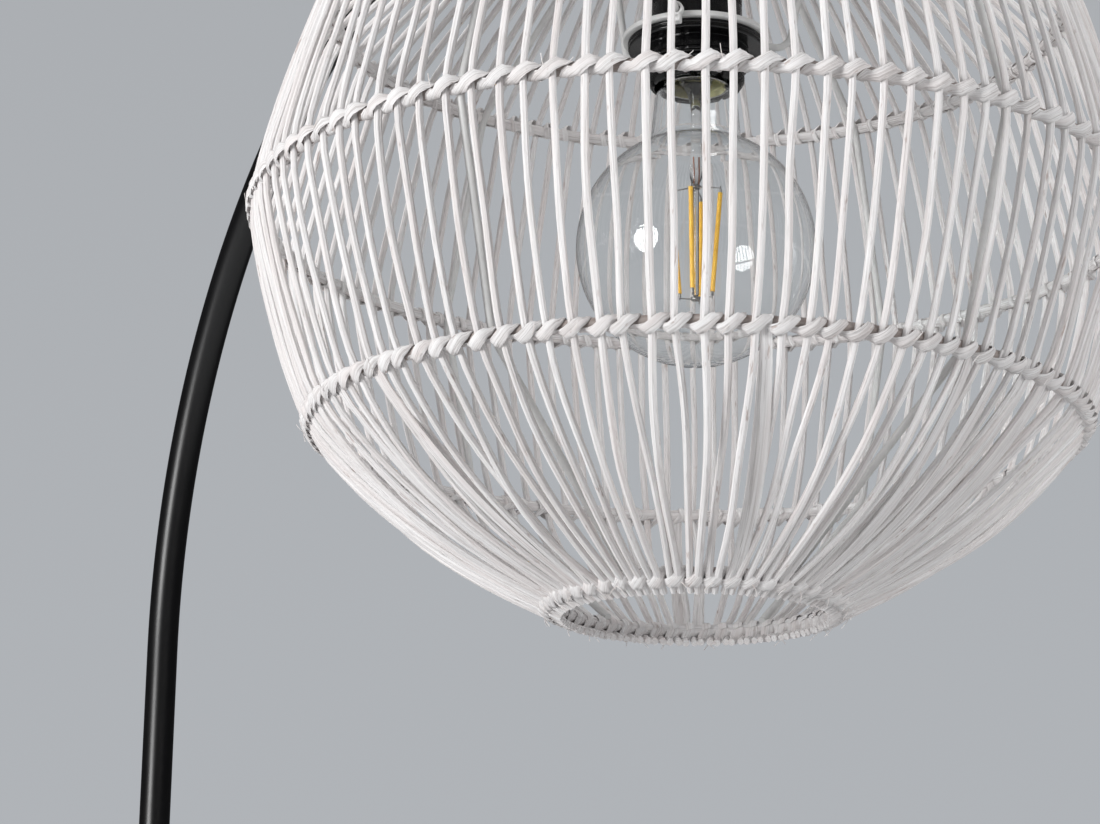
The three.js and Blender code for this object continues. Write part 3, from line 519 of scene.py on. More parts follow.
def swept(stations, radius, sides=24, bore=0.0):
    """A round bar, or a tube where it has a bore, along stations."""
    line = [Vector(station) for station in stations]
    headings = []
    for i in range(len(line)):
        into = (line[i] - line[max(i - 1, 0)]).normalized()
        out_of = (line[min(i + 1, len(line) - 1)] - line[i]).normalized()
        headings.append((into + out_of).normalized())
    side = headings[0].orthogonal().normalized()
    walls = [radius, bore] if bore else [radius]
    points, rows = [], [[] for _ in walls]
    for station, heading in zip(line, headings):
        side = (side - heading * side.dot(heading)).normalized()
        up = heading.cross(side)
        for row, wall in zip(rows, walls):
            row.append(range(len(points), len(points) + sides))
            for k in range(sides):
                angle = 2 * math.pi * k / sides
                points.append(station + side * wall * math.cos(angle) + up * wall * math.sin(angle))
    faces = [face for pair in zip(rows[0], rows[0][1:]) for face in band(*pair)]
    if bore:
        faces += [face for low, high in zip(rows[1], rows[1][1:]) for face in band(high, low)]
        faces += band(rows[1][0], rows[0][0]) + band(rows[0][-1], rows[1][-1])
    else:
        faces += [list(rows[0][0])[::-1], list(rows[0][-1])]
    return mesh_of(points, faces)


arm_top = bend_height + bend_radius
arm_line = [
    (0, arm_bottom),
    *arc(bend_radius, bend_height, bend_radius, 180, 90, 72),
    *arc(reach - end_radius, arm_top - end_radius, end_radius, 90, 0, 28),
    (reach, tube_end),
]
arm = swept([(x, 0, z) for x, z in arm_line], tube_radius, 64, tube_bore)
fitted("bent_arm", pierced(arm, screw_bore(thumb_height)), black_coat, "arm", "black_metal", "arm_tube")
dressed(black_rubber, "flex_in_arm")


def knurled(radius, height, angle):
    if radius < knob_radius - 0.8:
        return radius, height
    return radius - rib_depth + rib_depth * math.cos(knob_ribs * angle), height


thumb_start = screw_start + 0.4
thumb_corners = [
    (0, thumb_start), (screw_radius, thumb_start), (screw_radius, screw_seat), (knob_neck, screw_seat),
    (knob_neck, knob_start), (knob_radius, knob_start), (knob_radius, knob_end), (0, knob_end),
]
thumb = across(turned(eased(thumb_corners, 0.5, False), 144, False, knurled), thumb_height)
fitted("thumb_screw", thumb, black_coat, "arm", "black_metal", "swivel_screw")


# What hangs the lampholder on the tube: a bush pressed into the tube's end, a threaded nipple with
# the flex through it, and a hexagon nut on the holder's cap.
skirt_height = 1447
nut_bottom = 57.9
nut_corner = 8
nut_thickness = 4
nipple_hole = 5.3
nut_corners = [(nipple_hole, 0), (nut_corner, 0), (nut_corner, nut_thickness), (nipple_hole, nut_thickness)]


def hung(height):
    """Gives a function that lifts a mesh to a height on the shade's axis."""
    place = Matrix.Translation((reach * mm, 0, height * mm))

    def lifted(mesh):
        mesh.transform(place)
        return mesh

    return lifted


hexagon = hung(skirt_height + nut_bottom)(turned(eased(nut_corners, 0.5), 6))
fitted("hexagon_nut", hexagon, black_coat, "arm", "black_metal", "lock_nut", crease=25)
dressed(zinc, "arm_end_bush", "holder_nipple")


# The lampholder's body and cap: black phenolic moulding, glossy. The skirt has a coarse thread for
# the ring nut and small notches round its open end.
skirt_radius = 19.5
skirt_bore = 16.5
lip_height = 3
thread_height = 0.35
thread_pitch = 2
shoulder_radius = 21.4
shoulder_bottom = 22.4
shoulder_top = 24.9
body_radius = 18.6
body_top = 34.3
ledge_radius = 14.8
ledge_bottom = 27.3
ledge_top = 30
cap_bottom = 34.6
cap_top = 57.6
notch_count = 10
notch_width = 2.6
notch_depth = 1.4
on_holder = hung(skirt_height)

black_moulding = finish_of(
    "black moulding", (0.0032, 0.0032, 0.0036), (0.0020, 0.0020, 0.0022), 60,
    (0.11, 0.20), 0.00001, 900,
)


def thread_swing(height, angle, pitch):
    """Where a thread stands, from -1 in its root to 1 on its crest."""
    return math.cos(2 * math.pi * height / pitch - angle)


def threaded(radius, height, angle):
    """The skirt's coarse thread and the notches in its open end."""
    if radius > skirt_radius - 0.1 and lip_height + 0.3 < height < shoulder_bottom - 1:
        radius += -0.3 + thread_height * max(-0.6, thread_swing(height, angle, thread_pitch))
    step = 2 * math.pi / notch_count
    from_notch = abs((angle + step / 2) % step - step / 2) * skirt_radius
    if height < 0.5 and from_notch < notch_width / 2:
        height += notch_depth
    return radius, height


rise_step = 0.25
rise_count = int((shoulder_bottom - 1 - lip_height) / rise_step)
skirt_rise = [(skirt_radius, lip_height + rise_step * i) for i in range(rise_count)]
shell_profile = [
    (skirt_bore, 0.4),
    (skirt_bore + 0.3, 0),
    (skirt_radius - 2.1, 0),
    (skirt_radius - 1.6, 0.4),
    (skirt_radius - 0.35, lip_height - 0.8),
    (skirt_radius - 0.11, lip_height - 0.3),
    *skirt_rise,
    *eased([
        (skirt_radius, shoulder_bottom - 0.4), (skirt_radius, shoulder_bottom),
        (shoulder_radius, shoulder_bottom), (shoulder_radius, shoulder_top), (body_radius, shoulder_top),
        (body_radius, body_top), (skirt_bore, body_top), (skirt_bore, body_top - 2),
    ], 0.4, False)[1:-1],
    (skirt_bore, ledge_top),
    (ledge_radius, ledge_top),
    (ledge_radius, ledge_bottom),
    (skirt_bore, ledge_bottom),
]
shell = on_holder(turned(shell_profile, 240, True, threaded))
fitted("holder_body", shell, black_moulding, "arm", "black_plastic", "holder_shell", crease=50)

cap_neck = 8.5
cap_profile = eased([
    (skirt_bore, cap_bottom), (body_radius, cap_bottom), (body_radius, cap_top - 7), (14.6, cap_top - 2.3),
    (cap_neck, cap_top), (nipple_hole, cap_top), (nipple_hole, cap_top - 6), (cap_neck, cap_top - 6),
    (skirt_bore, cap_top - 9),
], 1.1)
holder_cap = on_holder(turned(cap_profile, 128))
fitted("holder_dome", holder_cap, black_moulding, "arm", "black_plastic", "holder_cap")


# Inside the lampholder: a ceramic block, brass contacts with their terminal screws, the two cores
# of the flex, and the threaded brass shell that shows in the skirt's mouth.
glazed = finish_of(
    "glazed ceramic", (0.80, 0.78, 0.73), (0.74, 0.72, 0.68), 80, (0.25, 0.4), 0.00002, 500
)
dull_brass = finish_of(
    "dull brass", (0.46, 0.31, 0.085), (0.30, 0.19, 0.05), 140, (0.26, 0.42), 0.00002, 900, 1.0
)
dressed(glazed, "holder_insert")
dressed(dull_brass, "centre_contact", "live_terminal", "neutral_terminal")
dressed(zinc, "live_terminal_screw", "neutral_terminal_screw")
dressed(white_nylon, "live_core", "neutral_core")

shell_radius = 14.1
shell_wall = 0.4
shell_bottom = 8
lamp_pitch = 3.6
lamp_thread_step = 0.45
shell_thread_depth = 0.35


def rolled(radius, height, angle):
    """The rounded thread that is rolled into thin metal."""
    return radius + shell_thread_depth * (thread_swing(height, angle, lamp_pitch) - 1), height


shell_steps = [shell_bottom + lamp_thread_step * i for i in range(49)]
brass_profile = [
    *[(shell_radius, z) for z in shell_steps],
    *[(shell_radius - shell_wall, z) for z in reversed(shell_steps)],
]
brass_shell = on_holder(turned(brass_profile, 96, True, rolled))
fitted("threaded_shell", brass_shell, dull_brass, "arm", "brass", "screw_shell", crease=60)


# The ring nut: the same black moulding, screwed up the skirt to clamp the shade's carrier. Its rim
# is wide, and finger grooves run down its side.
nut_base = 9.2
nut_top = 19.6
nut_radius = 27.5
nut_rim = 3.4
nut_barrel = 21.7
nut_bore = 20.1
nut_ledge = nut_top - nut_rim
groove_count = 12
groove_radius = 0.8
groove_depth = 0.55
first_groove = math.radians(15.4)


def grooved(radius, height, angle):
    if not nut_bore + 0.6 < radius < nut_barrel + 0.2 or height > nut_ledge:
        return radius, height
    step = 2 * math.pi / groove_count
    off = abs((angle - first_groove + step / 2) % step - step / 2) * nut_barrel
    return radius - groove_depth * max(0.0, 1 - (off / groove_radius) ** 2), height


nut_profile = eased([
    (nut_bore, nut_base),
    (nut_barrel - 0.3, nut_base),
    (nut_barrel, nut_base + 0.4),
    (nut_barrel, nut_base + 1.1),
    (nut_barrel - 0.4, nut_base + 1.6),
    (nut_barrel - 0.4, nut_ledge - 1.5),
    (nut_barrel - 0.9, nut_ledge - 1.2),
    (nut_barrel - 0.9, nut_ledge),
    (nut_radius - 0.6, nut_ledge),
    (nut_radius - 0.1, nut_ledge + 0.6),
    (nut_radius - 0.1, nut_ledge + 1.6),
    (nut_radius - 0.5, nut_ledge + 2),
    (nut_radius, nut_ledge + 2.4),
    (nut_radius, nut_top),
    (nut_bore, nut_top),
], 0.25)
ring_nut = on_holder(turned(nut_profile, 240, True, grooved))
fitted("clamping_nut", ring_nut, black_moulding, "ring_nut", "black_plastic", "ring_nut", crease=50)


# The shade's frame: five rings of steel wire with four uprights welded inside them, painted white.
# The carrier, a plate on the holder with three arms, hangs it all.
shade_height = 1236
on_shade = hung(shade_height)
ring_radii = (56.8, 149.4, 173.8, 148, 57)
ring_heights = (0, 69, 154.2, 242, 312)
ring_names = ("bottom", "lower", "middle", "upper", "top")
last_ring = len(ring_names) - 1
wire_inset = 1.2
wire_radius = 1.8
wire_sides = 12
upright_radius = 1.5
upright_joggle = 4
upright_angles = (118, 187, 298, 7)

white_paint = finish_of(
    "white paint", (0.66, 0.66, 0.65), (0.58, 0.58, 0.575), 120, (0.38, 0.5), 0.00003, 800
)

ring_middles = [Vector(pair) for pair in zip(ring_radii, ring_heights)]
ring_frames = []
for k, ring_middle in enumerate(ring_middles):
    into = (ring_middle - ring_middles[max(k - 1, 0)]).normalized()
    out_of = (ring_middles[min(k + 1, last_ring)] - ring_middle).normalized()
    along = (into + out_of).normalized()
    ring_frames.append((ring_middle, along, Vector((along.y, -along.x))))


def at_angle(point, degrees):
    angle = math.radians(degrees)
    return (point[0] * math.cos(angle), point[0] * math.sin(angle), point[1])


for name, (ring_middle, along, outward) in zip(ring_names, ring_frames):
    wire_middle = ring_middle - outward * wire_inset
    section = arc(*wire_middle, wire_radius, 0, 360, wire_sides)[:-1]
    ring = on_shade(turned(section, 144))
    fitted(name + "_wire", ring, white_paint, "arm", "white_metal", name + "_ring_wire")

upright_line = []
inset = wire_inset + wire_radius + upright_radius - 0.3
for k, (ring_middle, along, outward) in enumerate(ring_frames):
    spot = ring_middle - outward * inset
    if 0 < k < last_ring:
        joggle = along * upright_joggle
        upright_line += [tuple(spot - joggle), tuple(spot + outward * 0.5), tuple(spot + joggle)]
    else:
        upright_line.append(tuple(spot))
for i, degrees in enumerate(upright_angles):
    name = f"upright_{i + 1}"
    stations = [at_angle(point, degrees) for point in eased(upright_line, 3, False, 2)]
    upright = on_shade(swept(stations, upright_radius, 12))
    fitted(name, upright, white_paint, "arm", "white_metal", f"upright_wire_{i + 1}")

plate_bottom = 230.9
plate_top = 233.1
plate_radius = 29.6
arm_rod = 1.5
plate_arm_root = 28.1
plate_arm_bend = 36
plate_arm_rise = 4
plate_arm_tip = 53.6
plate_arm_angles = (73, 193, 313)
arm_level = plate_bottom + arm_rod
arm_line_points = eased([
    (plate_arm_root, arm_level), (plate_arm_bend, arm_level),
    (plate_arm_bend + plate_arm_rise, arm_level + plate_arm_rise), (plate_arm_tip, ring_heights[-1]),
], 3, False, 3)
carrier_meshes = [pipe(plate_radius, nut_bore, plate_bottom, plate_top, 96, 0.6)]
for degrees in plate_arm_angles:
    carrier_meshes.append(swept([at_angle(point, degrees) for point in arm_line_points], arm_rod, 12))


def gathered(meshes):
    """Several solids as the mesh of one piece."""
    whole = bmesh.new()
    for mesh in meshes:
        whole.from_mesh(mesh)
    result = bpy.data.meshes.new("gathered")
    whole.to_mesh(result)
    whole.free()
    return result


carrier = on_shade(gathered(carrier_meshes))
fitted("hanging_carrier", carrier, white_paint, "arm", "white_metal", "shade_carrier")


# The stakes: 104 lengths of round rattan core, washed white, bent by hand over the outside of the
# rings. They are never quite straight or evenly spaced, and in the lowest ring they close in pairs.
stake_count = 104
stake_radius = 1.42
stake_inset = 2.15
stake_sides = 8
tier_bows = (6.5, 2.2, 1.4, 3.0)
tier_steps = (13, 10, 10, 11)
cut_end = 7.4
slack_at_foot, slack_above, slack_at_ends = 3.8, 1.2, 0.25
pair_close_up = 0.25
uneven_spacing = 0.0068
waver = 2.1
first_pair = math.radians(0.815)
stake_pitch = 2 * math.pi / stake_count


def washed(name, fibre_cells, line_cells, line_share, fleck_cells, fleck_from):
    """White wash over rattan: fine fibres, thin dark lines along them, greyer streaks and brownish
    specks where it is worn."""
    finish, start = new_finish(name)
    place = start.node("ShaderNodeAttribute", {}, "Vector", attribute_name="grain")
    fibres = grain_of(place, fibre_cells, 3.0, 0.6)
    streaks = grain_of(place, (260, 260, 14), 2.0)
    specks = grain_of(place, fleck_cells, 3.0, 0.65)
    from_line = grain_of(place, line_cells, 1.0) - 0.5
    line = 1 - between(from_line.sum("ABSOLUTE", from_line, 0.0), 0.0, 0.03)
    washed_white = mixed(between(fibres, 0.35, 0.65), (0.72, 0.698, 0.692), (0.855, 0.845, 0.846))
    greyer = mixed(between(streaks, 0.42, 0.75) * 0.55, washed_white, (0.66, 0.585, 0.565))
    lined_white = mixed(line * line_share, greyer, (0.34, 0.30, 0.29))
    worn = between(specks, fleck_from, fleck_from + 0.07)
    height = fibres - worn * 0.5 - line * line_share
    relief_sockets = {"Strength": 1.0, "Distance": 0.00022, "Height": height}
    shader = start.node("ShaderNodeBsdfPrincipled", {
        "Base Color": mixed(worn * 0.6, lined_white, (0.36, 0.25, 0.215)),
        "Roughness": 0.62 + fibres * 0.25,
        "Normal": start.node("ShaderNodeBump", relief_sockets),
    })
    shine_out(start, shader)
    return finish


washed_core = washed("washed rattan core", (1500, 1500, 26), (1000, 1000, 22), 0.28, (420, 420, 75), 0.65)

# The line of a stake in its own plane: straight from ring to ring with a bow in each tier, the
# kinks at the rings softened, and a cut end below the lowest ring and above the top one.
top_tier = len(tier_bows) - 1
stake_rings = [ring_middle + outward * stake_inset for ring_middle, along, outward in ring_frames]
stake_line, slack, spread = [], [], []
for tier, (bow, steps) in enumerate(zip(tier_bows, tier_steps)):
    low, high = stake_rings[tier], stake_rings[tier + 1]
    chord = high - low
    aside = Vector((chord.y, -chord.x)).normalized()
    for i in range(steps + (tier == top_tier)):
        share = i / steps
        stake_line.append(low + chord * share + aside * bow * 4 * share * (1 - share))
        slack.append(math.sin(math.pi * share) * (slack_above if tier else slack_at_foot))
        closed = (1 - share) if tier == 0 else share if tier == top_tier else 0
        spread.append(1 - closed)
for _ in range(2):
    stake_line = [
        stake_line[0],
        *[(a + b * 4 + c) / 6 for a, b, c in zip(stake_line, stake_line[1:], stake_line[2:])],
        stake_line[-1],
    ]
first_heading = (stake_line[1] - stake_line[0]).normalized()
last_heading = (stake_line[-1] - stake_line[-2]).normalized()
lower_end = stake_line[0] - first_heading * cut_end
upper_end = stake_line[-1] + last_heading * cut_end * 0.8
stake_line = [lower_end, *stake_line, upper_end]
slack = [slack_at_ends, *slack, slack_at_ends]
spread = [0, *spread, 0]

core_line = bpy.data.meshes.new("core_line")
core_edges = [(i, i + 1) for i in range(len(stake_line) - 1)]
core_line.from_pydata([Vector((point.x, 0, point.y)) * mm for point in stake_line], core_edges, [])
for name, shares in (("slack", slack), ("spread", spread)):
    core_line.attributes.new(name, "FLOAT", "POINT").data.foreach_set("value", shares)


def new_tree(name, sizes):
    """A tree of geometry nodes with named inputs. It gives their feeds and their identifiers."""
    tree = bpy.data.node_groups.new(name, "GeometryNodeTree")
    tree.interface.new_socket("Geometry", in_out="INPUT", socket_type="NodeSocketGeometry")
    tree.interface.new_socket("Geometry", in_out="OUTPUT", socket_type="NodeSocketGeometry")
    ids = {}
    for label, value in sizes.items():
        kind = "NodeSocketInt" if isinstance(value, int) else "NodeSocketFloat"
        ids[label] = tree.interface.new_socket(label, in_out="INPUT", socket_type=kind).identifier
    entry = tree.nodes.new("NodeGroupInput")
    feeds = {s.name: Feed(tree, s) for s in entry.outputs if s.name}
    return tree, Feed(tree), feeds, ids


def grown(mesh, tree, end, ids, sizes, finish):
    """Ends a tree in its finish, runs it on a mesh and gives the result as a plain mesh."""
    ending = end.node("GeometryNodeSetMaterial", {"Geometry": end, "Material": finish})
    leaving = tree.nodes.new("NodeGroupOutput")
    tree.links.new(ending.socket, leaving.inputs["Geometry"])
    seedling = shown("seedling", mesh)
    growth = seedling.modifiers.new("growth", "NODES")
    growth.node_group = tree
    for label, value in sizes.items():
        growth[ids[label]] = value
    return baked(seedling)


def own_share(index, seed, low, high):
    """A number of its own for each stake, the same in every tree."""
    sockets = {"Min": low, "Max": high, "ID": index, "Seed": seed}
    return index.node("FunctionNodeRandomValue", sockets, "Value", data_type="FLOAT")


def kept(start, geometry, name, value, kind, domain="POINT"):
    """The geometry with a value stored under a name."""
    sockets = {"Geometry": geometry, "Name": name, "Value": value}
    return start.node("GeometryNodeStoreNamedAttribute", sockets, data_type=kind, domain=domain)


def stored(start, name, kind="FLOAT"):
    return start.node("GeometryNodeInputNamedAttribute", {"Name": name}, "Attribute", data_type=kind)


def round_the_axis(start, feeds, geometry, phase):
    """Copies of the geometry turned round the axis, with their number stored as stake."""
    spots = start.node("GeometryNodeMeshLine", {"Count": feeds["Count"], "Offset": (0, 0, 0)})
    index = start.node("GeometryNodeInputIndex")
    angle = index * feeds["Pitch"] + phase
    turning = start.node("ShaderNodeCombineXYZ", {"Z": angle})
    sockets = {"Points": spots, "Instance": geometry, "Rotation": turning}
    copies = start.node("GeometryNodeInstanceOnPoints", sockets)
    numbered = kept(start, copies, "stake", index, "INT", "INSTANCE")
    return start.node("GeometryNodeRealizeInstances", {"Geometry": numbered})


def shifted(start, geometry, angle):
    """Turns each point round the axis by an angle of its own."""
    place = start.node("GeometryNodeInputPosition")
    sockets = {"Vector": place, "Angle": angle}
    spot = start.node("ShaderNodeVectorRotate", sockets, rotation_type="Z_AXIS")
    return start.node("GeometryNodeSetPosition", {"Geometry": geometry, "Position": spot})


def wavered(start, geometry, spot, size):
    """Moves each point by noise, read at a spot, of a size."""
    wave = start.node("ShaderNodeTexNoise", {"Vector": spot, "Scale": 1.0, "Detail": 1.0}, "Color")
    centred = start.node("ShaderNodeVectorMath", {0: wave, 1: (0.5, 0.5, 0.5)}, operation="SUBTRACT")
    swing = start.node("ShaderNodeVectorMath", {0: centred, "Scale": size}, operation="SCALE")
    return start.node("GeometryNodeSetPosition", {"Geometry": geometry, "Offset": swing})


stake_sizes = {
    "Count": stake_count,
    "Pitch": stake_pitch,
    "Phase": first_pair - stake_pitch / 2,
    "Stake radius": stake_radius * mm,
    "Sides": stake_sides,
    "Closing": pair_close_up / ring_radii[0],
    "Spacing": uneven_spacing,
    "Waver": waver * mm,
    "Seed": 7,
}
stake_tree, start, feeds, ids = new_tree("stakes round the rings", stake_sizes)
core = start.node("GeometryNodeMeshToCurve", {"Mesh": feeds["Geometry"]})
cores = round_the_axis(start, feeds, core, feeds["Phase"])
number = stored(start, "stake", "INT")
side_of_pair = 1 - 2 * (number % 2)
pull = side_of_pair * feeds["Closing"] * (1 - stored(start, "spread"))
shift = own_share(number, feeds["Seed"], -1.0, 1.0) * feeds["Spacing"] * stored(start, "spread")
moved = shifted(start, cores, pull + shift)
place = start.node("ShaderNodeSeparateXYZ", {"Vector": start.node("GeometryNodeInputPosition")})
spot = start.node("ShaderNodeCombineXYZ", {
    "X": number * 0.83, "Y": place.other("Z") * 9.0, "Z": feeds["Seed"] * 1.0
})
bent = wavered(start, moved, spot, stored(start, "slack") * feeds["Waver"] * 2.0)
length = start.node("GeometryNodeSplineParameter", {}, "Length")
measured = kept(start, bent, "length", length, "FLOAT")
section = start.node("GeometryNodeCurvePrimitiveCircle", {
    "Resolution": feeds["Sides"], "Radius": feeds["Stake radius"]
})
section_place = start.node("GeometryNodeInputPosition")
sectioned = kept(start, section, "around", section_place, "FLOAT_VECTOR")
stake_skin = start.node("GeometryNodeCurveToMesh", {
    "Curve": measured, "Profile Curve": sectioned, "Fill Caps": True,
    "Scale": own_share(number, feeds["Seed"], 0.93, 1.07),
})
around = start.node("ShaderNodeSeparateXYZ", {"Vector": stored(start, "around", "FLOAT_VECTOR")})
grain = start.node("ShaderNodeCombineXYZ", {
    "X": around + number * 0.37, "Y": around.other("Y"), "Z": stored(start, "length")
})
grained = kept(start, stake_skin, "grain", grain, "FLOAT_VECTOR")
stakes = grown(core_line, stake_tree, grained, ids, stake_sizes, washed_core)
fitted("rattan_stakes", on_shade(stakes), washed_core, "arm", "white_rattan", "rattan_cage")


# The flat splits: strips of the same rattan, cut flat, that fill out the lowest tier here and there.
# They run over the stakes and are bound in with them at both rings. Each row of the table holds the
# degrees at the upper and the lower end, half the width, the ridge's height and the lift.
narrow_split = (2.6, 0.4, 1.7)
split_rows = (
    (336.2, 340.4, 3.2, 1.1, 1.2), (7, 12, *narrow_split), (13, 17, *narrow_split),
    (19.5, 21, 5.6, 2.6, 0.5), (25, 28.5, 3.8, 1.6, 0.9), (258, 262, *narrow_split),
    (266, 268, *narrow_split), (277, 281, *narrow_split), (92, 97, *narrow_split),
    (150, 152, *narrow_split),
)
split_ridge_place = -0.4
split_back = -0.4
split_edge = 0.24
split_crest = 0.4
split_end_share = 0.62
split_tail = 3.5
split_last = tier_steps[0] + 1
split_heading = (stake_line[split_last + 1] - stake_line[split_last]).normalized()
split_line = [*stake_line[:split_last + 1], stake_line[split_last] + split_heading * split_tail]
split_points, split_faces, split_grain = [], [], []
for number, (upper_degrees, lower_degrees, split_half, ridge, lift) in enumerate(split_rows):
    run = 0.0
    for i, point in enumerate(split_line):
        share = min(max(i - 1, 0) / tier_steps[0], 1)
        before, after = split_line[max(i - 1, 0)], split_line[min(i + 1, len(split_line) - 1)]
        heading = (after - before).normalized()
        outward = Vector((heading.y, -heading.x))
        run += (point - before).length
        swell = math.sin(math.pi * share)
        half = split_half * (split_end_share + (1 - split_end_share) * swell)
        angle = math.radians(lower_degrees + (upper_degrees - lower_degrees) * share)
        crest = (split_ridge_place, split_crest + (ridge - split_crest) * swell)
        for v, depth in ((-1, split_back), (-1, split_edge), crest, (1, split_edge), (1, split_back)):
            spot = point + outward * (lift * swell + depth)
            split_points.append((
                spot.x * math.cos(angle) - v * half * math.sin(angle),
                spot.x * math.sin(angle) + v * half * math.cos(angle),
                spot.y,
            ))
            split_grain += [v * half * mm + number * 0.41, depth * mm, run * mm]
    count = 5 * len(split_line)
    rows = [range(k, k + 5) for k in range(number * count, (number + 1) * count, 5)]
    split_faces += [face for pair in zip(rows, rows[1:]) for face in band(*pair)]
    split_faces += [list(rows[0])[::-1], list(rows[-1])]


def grained_mesh(points, faces, grain_values):
    """A mesh that holds where each point lies in the fibres: across, through and along them."""
    mesh = mesh_of(points, faces)
    mesh.attributes.new("grain", "FLOAT_VECTOR", "POINT").data.foreach_set("vector", grain_values)
    return mesh


splits = grained_mesh(split_points, split_faces, split_grain)
washed_split = washed("washed flat split", (1900, 1900, 30), (1050, 1050, 9), 0.45, (420, 420, 75), 0.65)
fitted("flat_splits", on_shade(splits), washed_split, "arm", "white_rattan")


# The bindings: flat rattan peel wound round each ring. A first layer, which the wash hardly reaches,
# covers the wire; its dark outer half is bare rattan and also painted shade in the gaps between the
# turns. The second goes up over each stake, behind the ring and on to the next. At the lowest and the
# top ring it takes two stakes at a time.
peel_thickness = 0.5
peel_width = 5.2
lining_radius = 2.15
lining_step = 0.22
lining_steps = 720
lining_grain = 2.3
pale_from, pale_to = 3, 8
peel_clear = 0.15
peel_rounding = 0.55
# The first layer's dark finish: bare rattan, and also painted shade for the gaps between the turns of peel.
bare_peel_and_shade = finish_of(
    "bare peel and painted shade", (0.40, 0.355, 0.335), (0.25, 0.205, 0.185), (500, 500, 90),
    (0.6, 0.8), 0.0001, (1400, 1400, 60), attribute="grain",
)
washed_peel = washed("washed rattan peel", (2300, 2300, 60), (1050, 1050, 14), 0.5, (500, 500, 160), 0.655)


def lined(ring_middle, outward):
    """The first layer: a close spiral of peel, which stands a little proud at each of its edges."""
    turns = round(2 * math.pi * ring_middle.x / peel_width)
    centre = ring_middle - outward * wire_inset
    section = arc(0, 0, 1, 0, 360, wire_sides)[:-1]
    points, faces, grain_values = [], [], []
    for k in range(lining_steps):
        angle = 2 * math.pi * k / lining_steps
        row, after = wire_sides * k, wire_sides * ((k + 1) % lining_steps)
        for i, (x, y) in enumerate(section):
            j = (i + 1) % wire_sides
            rise = (turns * k / lining_steps + i / wire_sides) % 1
            radius = lining_radius + lining_step * rise
            r, z = centre.x + radius * x, centre.y + radius * y
            points.append((r * math.cos(angle), r * math.sin(angle), z))
            faces.append([row + i, after + i, after + j, row + j])
            round_wire = 2 * math.pi * i / wire_sides
            grain_values += [lining_grain * mm * round_wire, 0, angle * centre.x * mm]
    return grained_mesh(points, faces, grain_values)


# One turn of the second layer as stations: the share of the pitch along the ring, the angle round
# the wire from the outside upwards, and the share of the strip's width. Its shape is half that
# width, half the flat stretch over what is bound, and the flank.
single_turn = (
    (-0.72, -128, 0.90), (-0.69, -100, 1.10), (-0.62, -74, 1.22), (-0.50, -50, 1.24), (-0.31, -28, 1.14),
    (-0.10, -9, 1.0), (0.10, 6, 0.94), (0.29, 22, 0.86), (0.45, 41, 0.70), (0.56, 64, 0.55),
    (0.59, 95, 0.50), (0.56, 150, 0.50), (0.49, 200, 0.50), (0.42, 232, 0.50),
)
paired_turn = (
    (-0.64, -135, 0.90), (-0.62, -104, 1.05), (-0.55, -76, 1.15), (-0.44, -50, 1.16), (-0.28, -26, 1.10),
    (-0.10, -8, 1.0), (0.09, 8, 0.96), (0.26, 25, 0.88), (0.41, 46, 0.76), (0.51, 74, 0.66),
    (0.54, 106, 0.60), (0.51, 160, 0.60), (0.45, 208, 0.60), (0.42, 232, 0.60),
)
single_shape = (2.35, 0.9, 4.3)
paired_shape = (3.0, 2.2, 1.7)
strip_across = (-1, -0.5, 0, 0.5, 1)
over_stake, past_stake, crest_limit = 42, 45, 25
raised_at, raised_reach = 0.45, 0.25


def strip_turn(strip_stations, pitch, half_width, flat, flank, ring_frame):
    """One turn of peel over what is bound: a flat stretch and a flank down to the ring on each side."""
    ring_middle, along, outward = ring_frame
    crest = wire_inset + stake_inset + stake_radius + 0.1
    low = lining_radius + peel_clear

    def underside(x, degrees):
        fall = min(max((abs(x) - flat) / flank, 0), 1)
        over = 1 - fall * fall
        from_outside = abs((degrees + 180) % 360 - 180)
        facing = 1 - min(max((from_outside - over_stake) / past_stake, 0), 1)
        top = crest / math.cos(math.radians(min(from_outside, crest_limit)))
        return low + (top - low) * over * facing

    middles = []
    for share, degrees, _ in strip_stations:
        x = share * pitch
        middles.append((x, degrees, underside(x, degrees)))
    points, grain_values = [], []
    run = 0.0
    for i, (x, degrees, radius) in enumerate(middles):
        before, after = middles[max(i - 1, 0)], middles[min(i + 1, len(middles) - 1)]
        dx = after[0] - before[0]
        dy = math.radians(after[1] - before[1]) * radius
        size = math.hypot(dx, dy)
        run += size / 2
        half = half_width * strip_stations[i][2]
        raised = peel_thickness * max(0.0, 1 - abs(strip_stations[i][0] - raised_at) / raised_reach)
        for level in (1, 0):
            for v in strip_across if level else (-1, 1):
                px = x - dy / size * half * v
                pdeg = degrees + math.degrees(dx / size * half * v / radius)
                pr = underside(px, pdeg) + raised
                if level:
                    pr += peel_thickness * (1 - peel_rounding * abs(v) ** 3)
                y = pr * math.sin(math.radians(pdeg))
                z = pr * math.cos(math.radians(pdeg)) - wire_inset
                spot = ring_middle + along * y + outward * z
                points.append((spot.x, px, spot.y))
                grain_values += [v * half * mm, 0.003 * level, run * mm]
    faces = []
    top = len(strip_across)
    row = top + 2
    section = [*range(top), top + 1, top]
    for i in range(len(middles) - 1):
        a, b = i * row, (i + 1) * row
        for u, v in zip(section, section[1:] + section[:1]):
            faces.append([a + u, b + u, b + v, a + v])
    last = (len(middles) - 1) * row
    faces.append(section)
    faces.append([last + v for v in reversed(section)])
    return grained_mesh(points, faces, grain_values)


